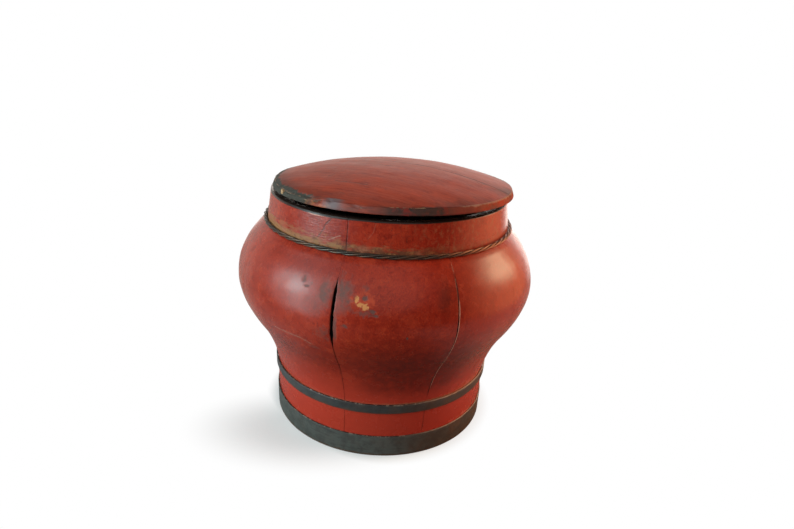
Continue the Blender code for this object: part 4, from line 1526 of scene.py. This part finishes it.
def lid_section(d):
    """Half section of the lid as (radius, height), from the top of the dome to the hollow."""
    rings = 46
    arris, overhang = 0.0012, 0.0014
    section = []
    for k in range(rings + 1):
        share = math.sin(math.pi / 2 * (k / rings) ** 1.1)
        share = min(share, 1.0 - arris / d.arris_radius) if k == rings else share
        height = d.arris_height + d.rise * (1.0 - share**d.dome_power)
        section.append((d.arris_radius * share, height))
    lean = d.radius - d.arris_radius
    for k in range(1, 4):
        turn = math.pi / 2 * k / 3
        section.append((
            d.arris_radius - arris + overhang * math.sin(turn),
            d.arris_height - arris * (1.0 - math.cos(turn)),
        ))
    for k in range(1, 7):
        level = (d.arris_height - arris) * (1.0 - k / 6) + arris * (k / 6)
        section.append((d.arris_radius + lean * (1.0 - level / d.arris_height), level))
    hollow = d.radius - d.seat_width
    section += [
        (d.radius - arris / 2, arris / 3),
        (d.radius - 1.5 * arris, 0.0),
        (d.radius - 10 * arris, 0.0),
        (hollow, 0.0),
        (hollow - d.hollow_slope / 2, d.hollow_depth / 2),
    ]
    ceiling = (hollow - d.hollow_slope, hollow * 0.6, hollow * 0.2, 0.0)
    return section + [(radius, d.hollow_depth) for radius in ceiling]


def wear_rim(bm, d):
    """Wear the rim of the turned lid down at the front left, and chip it all round."""
    top_reach, arris_reach, edge_reach, chip_reach = 0.03, 0.0013, 0.002, 0.006
    for vert in bm.verts:
        x, y, z = vert.co
        radius = math.hypot(x, y)
        if radius < 1e-6:
            continue
        turn = lid_azimuth(d, x, y)
        inward = d.arris_radius - radius
        on_top = inward < top_reach or z > d.hollow_depth + 0.002
        worn = ease(turn, d.worn_start, d.worn_start + 60)
        worn *= ease(turn, d.worn_end + 12, d.worn_end - 2)
        worn *= 0.85 + 0.5 * wander((x, y, 0.0), 0.014, 3.0)
        if z >= d.arris_height - arris_reach and on_top:
            reach = max(0.0, 1.0 - max(0.0, inward) / d.worn_width)
            vert.co.z -= d.worn_drop * worn * reach**1.6
            vert.co.z += 0.0004 * wander((x * 0.4, y, 0.0), 0.02, 6.0)
        elif z > 0.0 and inward < edge_reach:
            vert.co.z -= d.worn_drop * worn * z / d.arris_height
        if inward < chip_reach and z > 0.0002:
            bite = max(0.0, wander((x, y, 2.0 * z), d.chip_size, 9.0) - 0.22)
            rough = 0.35 + 1.5 * worn + 0.9 * between(turn, (-44, -38), (-24, -30))
            near = max(0.0, 1.0 - abs(inward) / chip_reach)
            pull = d.chip_depth * bite * rough * near
            vert.co.x *= 1.0 - pull / radius
            vert.co.y *= 1.0 - pull / radius
            vert.co.z -= 0.5 * pull * ease(z, 0.0, 0.004)


def saw_joint(bm, d, side):
    """Keep one side of the joint, close the sawn face, ease its upper edge; return its place."""
    place = d.joint_offset - side * d.joint_gap / 2
    cut = bmesh.ops.bisect_plane(
        bm,
        geom=list(bm.verts) + list(bm.edges) + list(bm.faces),
        plane_co=(0.0, place, 0.0),
        plane_no=(0.0, side, 0.0),
        clear_outer=True,
    )
    sawn = [item for item in cut["geom_cut"] if isinstance(item, bmesh.types.BMEdge)]
    bmesh.ops.edgeloop_fill(bm, edges=sawn)
    upper = [
        edge
        for edge in sawn
        if edge.is_valid and min(v.co.z for v in edge.verts) > d.hollow_depth + 0.0005
    ]
    bmesh.ops.bevel(
        bm, geom=upper, offset=0.0007, segments=2, profile=0.5, affect="EDGES", clamp_overlap=True
    )
    return place


def lid_board_mesh(d, side):
    """One lid board, with a worn and chipped rim and an eased joint."""
    bm = lathe(lid_section(d), 420)
    wear_rim(bm, d)
    bmesh.ops.scale(bm, verts=bm.verts, vec=(1.0, d.across, 1.0))
    joint = saw_joint(bm, d, side)
    mesh = mesh_of(bm)
    rims, turns, arris_highlights = [], [], []
    for vertex in mesh.vertices:
        x, y, z = vertex.co
        turn = lid_azimuth(d, x, y / d.across)
        inward = d.arris_radius - math.hypot(x, y / d.across)
        on_edge = inward < 0.0008 and z < d.arris_height
        rims.append(min(0.0, z - d.arris_height) - 0.0002 if on_edge else max(0.0, inward))
        turns.append(turn)
        # Pale line along the right arris: a painted highlight on the worn edge.
        right = between(turn, (24, 32), (96, 78))
        arris_highlights.append(math.exp(-abs(inward - 0.0003) / 0.0005) * right)
    mark(mesh, "rim", rims)
    mark(mesh, "turn", turns)
    mark(mesh, "arris", arris_highlights)
    for polygon in mesh.polygons:
        middle, normal = polygon.center, polygon.normal
        radius = math.hypot(middle.x, middle.y / d.across)
        under = normal.z < -0.05 and middle.z <= d.hollow_depth + 0.0001
        under = under and radius < d.radius - 0.0015
        sawn_face = abs(normal.y) > 0.98 and abs(middle.y - joint) < 0.0002
        polygon.material_index = 1 if under or sawn_face else 0
    return mesh


def edge_peg_mesh(d):
    """Domed end of the peg in the lid's rim, standing on Z = 0."""
    radius, depth = d.edge_peg_radius, 0.006
    return mesh_of(lathe((
        (0.0, -0.0002),
        (radius * 0.45, -0.0003),
        (radius * 0.85, -0.0006),
        (radius, -0.0012),
        (radius, -depth),
        (0.0, -depth),
    ), 28))


class RICEBUCKET_OT_staves(bpy.types.Operator):
    """Build the lacquered staves"""

    bl_idname = "rice_bucket.staves"
    bl_label = "Staves"

    def execute(self, context):
        s = settings()
        lacquer = stave_lacquer(s.staves, s.hoops, s.colours)
        inside = plain_wood("inside_wood", "Z", s.colours)
        joint = dirty_joint(s.colours)
        for number, node in enumerate(STAVES):
            mesh = stave_mesh(number, s.staves)
            name = "lacquered_" + node
            add_piece(name, mesh, (lacquer, inside, joint), "bucket", (node,))
        return {"FINISHED"}


class RICEBUCKET_OT_floor(bpy.types.Operator):
    """Finish the floor boards"""

    bl_idname = "rice_bucket.floor"
    bl_label = "Floor Boards"

    def execute(self, context):
        wood = plain_wood("floor_wood", "X", settings().colours)
        dress([name for name in NODES if name.startswith("floor_board")], wood, 0.0008)
        return {"FINISHED"}


class RICEBUCKET_OT_pins(bpy.types.Operator):
    """Finish the bamboo pins and pegs"""

    bl_idname = "rice_bucket.pins"
    bl_label = "Pins and Pegs"

    def execute(self, context):
        bamboo = split_bamboo(settings().colours)
        pins = [name for name in NODES if "_pin_" in name or "_peg_" in name]
        dress(pins, bamboo, 0.0004)
        return {"FINISHED"}


class RICEBUCKET_OT_neck_hoop(bpy.types.Operator):
    """Lay the strands of the neck hoop"""

    bl_idname = "rice_bucket.neck_hoop"
    bl_label = "Neck Hoop"

    def execute(self, context):
        s = settings()
        wire = twisted_wire(s.colours)
        strands = sorted(name for name in NODES if name.startswith("neck_strand"))
        for number, node in enumerate(strands):
            mesh = strand_mesh(number, s.staves, s.hoops)
            add_piece("laid_" + node, mesh, (wire,), "bucket", (node,), sharp=80.0)
        return {"FINISHED"}


class RICEBUCKET_OT_iron_strips(bpy.types.Operator):
    """Bend the waist hoop and the foot band and rivet them"""

    bl_idname = "rice_bucket.iron_strips"
    bl_label = "Iron Strips"

    def execute(self, context):
        s = settings()
        h = s.hoops
        strips = (("waist_hoop", s.colours.hoop_iron), ("foot_band", s.colours.iron))
        for seed, (node, iron) in enumerate(strips):
            part = node.split("_")[0]
            low, height = strip_sizes(h, part)[:2]
            finish = dark_iron("iron_of_" + node, iron, low, low + height, s.colours)
            mesh = strip_mesh(s.staves, h, part, 11.0 + seed)
            add_piece("hammered_" + node, mesh, (finish,), "bucket", (node,))
            for rivet in sorted(name for name in NODES if name.startswith(node + "_rivet")):
                lowest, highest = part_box(rivet)
                centre = (lowest + highest) / 2
                outward = Vector((centre.x, centre.y, 0.0)).normalized()
                top = max(vertex.co.dot(outward) for vertex in NODES[rivet].data.vertices)
                foot = outward * (top - h.rivet_rise) + Vector((0.0, 0.0, centre.z))
                head = rivet_mesh((highest.z - lowest.z) / 2, h.rivet_rise, centre.z * 300.0)
                mesh = settle(head, aim(foot, outward))
                add_piece("peened_" + rivet, mesh, (finish,), "bucket", (rivet,))
        return {"FINISHED"}


class RICEBUCKET_OT_lid(bpy.types.Operator):
    """Build the lid boards and the peg in their rim"""

    bl_idname = "rice_bucket.lid"
    bl_label = "Lid"

    def execute(self, context):
        s = settings()
        d = s.lid
        place = lid_matrix(d)
        lacquer = lid_lacquer(d, s.colours)
        under = plain_wood("lid_underside", "X", s.colours, own_place=True)
        for node, side in (("lid_board_front", 1.0), ("lid_board_back", -1.0)):
            mesh = settle(lid_board_mesh(d, side), place)
            name = "lacquered_" + node
            add_piece(name, mesh, (lacquer, under), "lid", (node,))
        turn = math.radians(d.edge_peg_azimuth) - d.grain
        level = 0.48 * d.arris_height
        outward = Vector((math.sin(turn), -math.cos(turn) * d.across, 0.0))
        seat = outward * d.radius + Vector((0.0, 0.0, level))
        mesh = settle(edge_peg_mesh(d), place @ aim(seat, outward.normalized()))
        add_piece("lid_edge_peg", mesh, (split_bamboo(s.colours),), "lid")
        return {"FINISHED"}


class RICEBUCKET_OT_battens(bpy.types.Operator):
    """Finish the battens under the lid"""

    bl_idname = "rice_bucket.battens"
    bl_label = "Battens"

    def execute(self, context):
        wood = plain_wood("batten_wood", "Y", settings().colours)
        dress([name for name in NODES if name.startswith("lid_batten")], wood)
        return {"FINISHED"}


class RICEBUCKET_OT_stage(bpy.types.Operator):
    """Set the floor, the lamps and the camera"""

    bl_idname = "rice_bucket.stage"
    bl_label = "Stage"

    def execute(self, context):
        stage = settings().stage
        scene = context.scene
        scene.view_settings.view_transform = "Standard"
        self.lay_floor(stage)
        self.light_world(stage)
        self.place_camera(scene, stage)
        return {"FINISHED"}

    def lay_floor(self, stage):
        """Floor that is white to the camera and keeps the shadow of the bucket."""
        floor_radius, shade_strength = 0.8, 0.68
        bm = bmesh.new()
        bmesh.ops.create_circle(bm, cap_ends=True, segments=96, radius=floor_radius)
        mesh = mesh_of(bm)
        material, tree, shader, place = new_material("pale_floor")
        tree.nodes.remove(shader)
        axes = put(tree, "SeparateXYZ", Vector=place).outputs
        across = calc(tree, "SUBTRACT", axes["X"], stage.shade_x)
        across = calc(tree, "DIVIDE", across, stage.shade_width)
        along = calc(tree, "SUBTRACT", axes["Y"], stage.shade_y)
        along = calc(tree, "DIVIDE", along, stage.shade_depth)
        offset = put(tree, "CombineXYZ", X=across, Y=along, Z=0.0).outputs[0]
        shade = fade(tree, vector_calc(tree, "LENGTH", offset), 1.0, 0.25)
        shade = all_of(tree, shade, shade_strength)
        away = vector_calc(tree, "LENGTH", place)
        beyond = calc(tree, "SUBTRACT", away, settings().staves.foot_radius)
        contact = fade(tree, beyond, stage.contact_width, 0.0)
        right = fade(tree, axes["X"], -0.02, 0.13)
        contact = all_of(tree, contact, summed(tree, 0.70, (right, -0.45)))
        dark = largest(tree, [shade, contact])
        seen = put(tree, "LightPath").outputs["Is Camera Ray"]
        white = all_of(tree, seen, calc(tree, "SUBTRACT", 1.0, dark))
        aside = fade(tree, calc(tree, "ABSOLUTE", axes["X"]), 0.08, 0.30)
        bounce = blend(tree, aside, stage.bounce, stage.side_bounce)
        matt = put(tree, "BsdfDiffuse", Color=blend(tree, seen, bounce, stage.floor))
        glow = put(tree, "Emission", Color=(1.0, 1.0, 1.0, 1.0), Strength=1.0)
        mix = put(tree, "MixShader", Fac=white)
        join(tree, mix.inputs[1], matt.outputs[0])
        join(tree, mix.inputs[2], glow.outputs[0])
        join(tree, tree.nodes["Material Output"].inputs["Surface"], mix.outputs[0])
        mesh.materials.append(material)
        floor = bpy.data.objects.new("pale_floor", mesh)
        bpy.context.scene.collection.objects.link(floor)

    def light_world(self, stage):
        """White to the camera, and soft light from both sides and from behind to the bucket."""
        world = bpy.data.worlds.new("studio")
        bpy.context.scene.world = world
        world.use_nodes = True
        tree = world.node_tree
        lamp = tree.nodes["Background"]
        way = put(tree, "TexCoord").outputs["Generated"]
        light = (0.0, 0.0, 0.0)
        for azimuth, level, outer, strength, tint in (
            (-64.0, 20.0, 42.0, stage.window_light, stage.window),
            (-70.0, 19.0, 14.0, stage.pane_light, stage.window),
            (98.0, 8.0, 46.0, stage.warm_light, stage.warm),
            (107.0, 21.0, 16.0, stage.glow_light, stage.glow),
            (172.0, -1.0, 40.0, stage.back_light, stage.back),
            (-128.0, 4.0, 36.0, stage.back_light / 4, stage.back),
            (0.0, 40.0, 40.0, stage.front_light, stage.back),
            (-62.0, -4.0, 18.0, stage.sill_light, stage.window),
        ):
            area = self.bright_area(tree, way, azimuth, level, outer)
            light = blend(tree, area, light, tuple(strength * part for part in tint), "ADD")
        seen = put(tree, "LightPath").outputs["Is Camera Ray"]
        join(tree, lamp.inputs["Color"], blend(tree, seen, light, (1.0, 1.0, 1.0)))

    def bright_area(self, tree, way, azimuth, level, outer):
        """Mask of a soft bright area of the studio, given in degrees."""
        inner = min(12.0, 0.3 * outer)
        towards = around(math.cos(math.radians(level)), azimuth, math.sin(math.radians(level)))
        near = vector_calc(tree, "DOT_PRODUCT", way, towards)
        return fade(tree, near, math.cos(math.radians(outer)), math.cos(math.radians(inner)))

    def place_camera(self, scene, stage):
        """Camera at the angle of the picture."""
        camera = bpy.data.cameras.new("camera")
        camera.sensor_fit = "HORIZONTAL"
        camera.sensor_width = SENSOR
        camera.lens = stage.focal_pixels * SENSOR / PHOTO_WIDTH
        camera.clip_start = 0.01
        obj = bpy.data.objects.new("camera", camera)
        scene.collection.objects.link(obj)
        down, right = stage.camera_down, stage.camera_right
        ahead = Vector((
            math.sin(right) * math.cos(down),
            math.cos(right) * math.cos(down),
            -math.sin(down),
        ))
        turn = ahead.to_track_quat("-Z", "Y").to_matrix()
        turn = turn @ Matrix.Rotation(stage.camera_roll, 3, "Z")
        place = Matrix.Translation((0.0, -stage.camera_back, stage.camera_height))
        obj.matrix_world = place @ turn.to_4x4()
        scene.camera = obj


OPERATORS = (
    RICEBUCKET_OT_staves,
    RICEBUCKET_OT_floor,
    RICEBUCKET_OT_pins,
    RICEBUCKET_OT_neck_hoop,
    RICEBUCKET_OT_iron_strips,
    RICEBUCKET_OT_lid,
    RICEBUCKET_OT_battens,
    RICEBUCKET_OT_stage,
)


class RICEBUCKET_PT_panel(bpy.types.Panel):
    """Pieces of the rice bucket"""

    bl_idname = "RICEBUCKET_PT_panel"
    bl_label = "Rice Bucket"
    bl_space_type = "VIEW_3D"
    bl_region_type = "UI"
    bl_category = "Rice Bucket"

    def draw(self, context):
        for operator in OPERATORS:
            self.layout.operator(operator.bl_idname)


CLASSES = (
    StaveSizes,
    HoopSizes,
    LidSizes,
    FinishColours,
    StageSettings,
    RiceBucketSettings,
    *OPERATORS,
    RICEBUCKET_PT_panel,
)


def register():
    """Register the classes and the scene's settings."""
    for cls in CLASSES:
        bpy.utils.register_class(cls)
    bpy.types.Scene.rice_bucket = PointerProperty(type=RiceBucketSettings)


def unregister():
    """Remove the scene's settings and the classes."""
    del bpy.types.Scene.rice_bucket
    for cls in reversed(CLASSES):
        bpy.utils.unregister_class(cls)


def main():
    """Register the classes and build every piece."""
    register()
    bpy.ops.rice_bucket.staves()
    bpy.ops.rice_bucket.floor()
    bpy.ops.rice_bucket.pins()
    bpy.ops.rice_bucket.neck_hoop()
    bpy.ops.rice_bucket.iron_strips()
    bpy.ops.rice_bucket.lid()
    bpy.ops.rice_bucket.battens()
    bpy.ops.rice_bucket.stage()


if __name__ == "__main__":
    main()
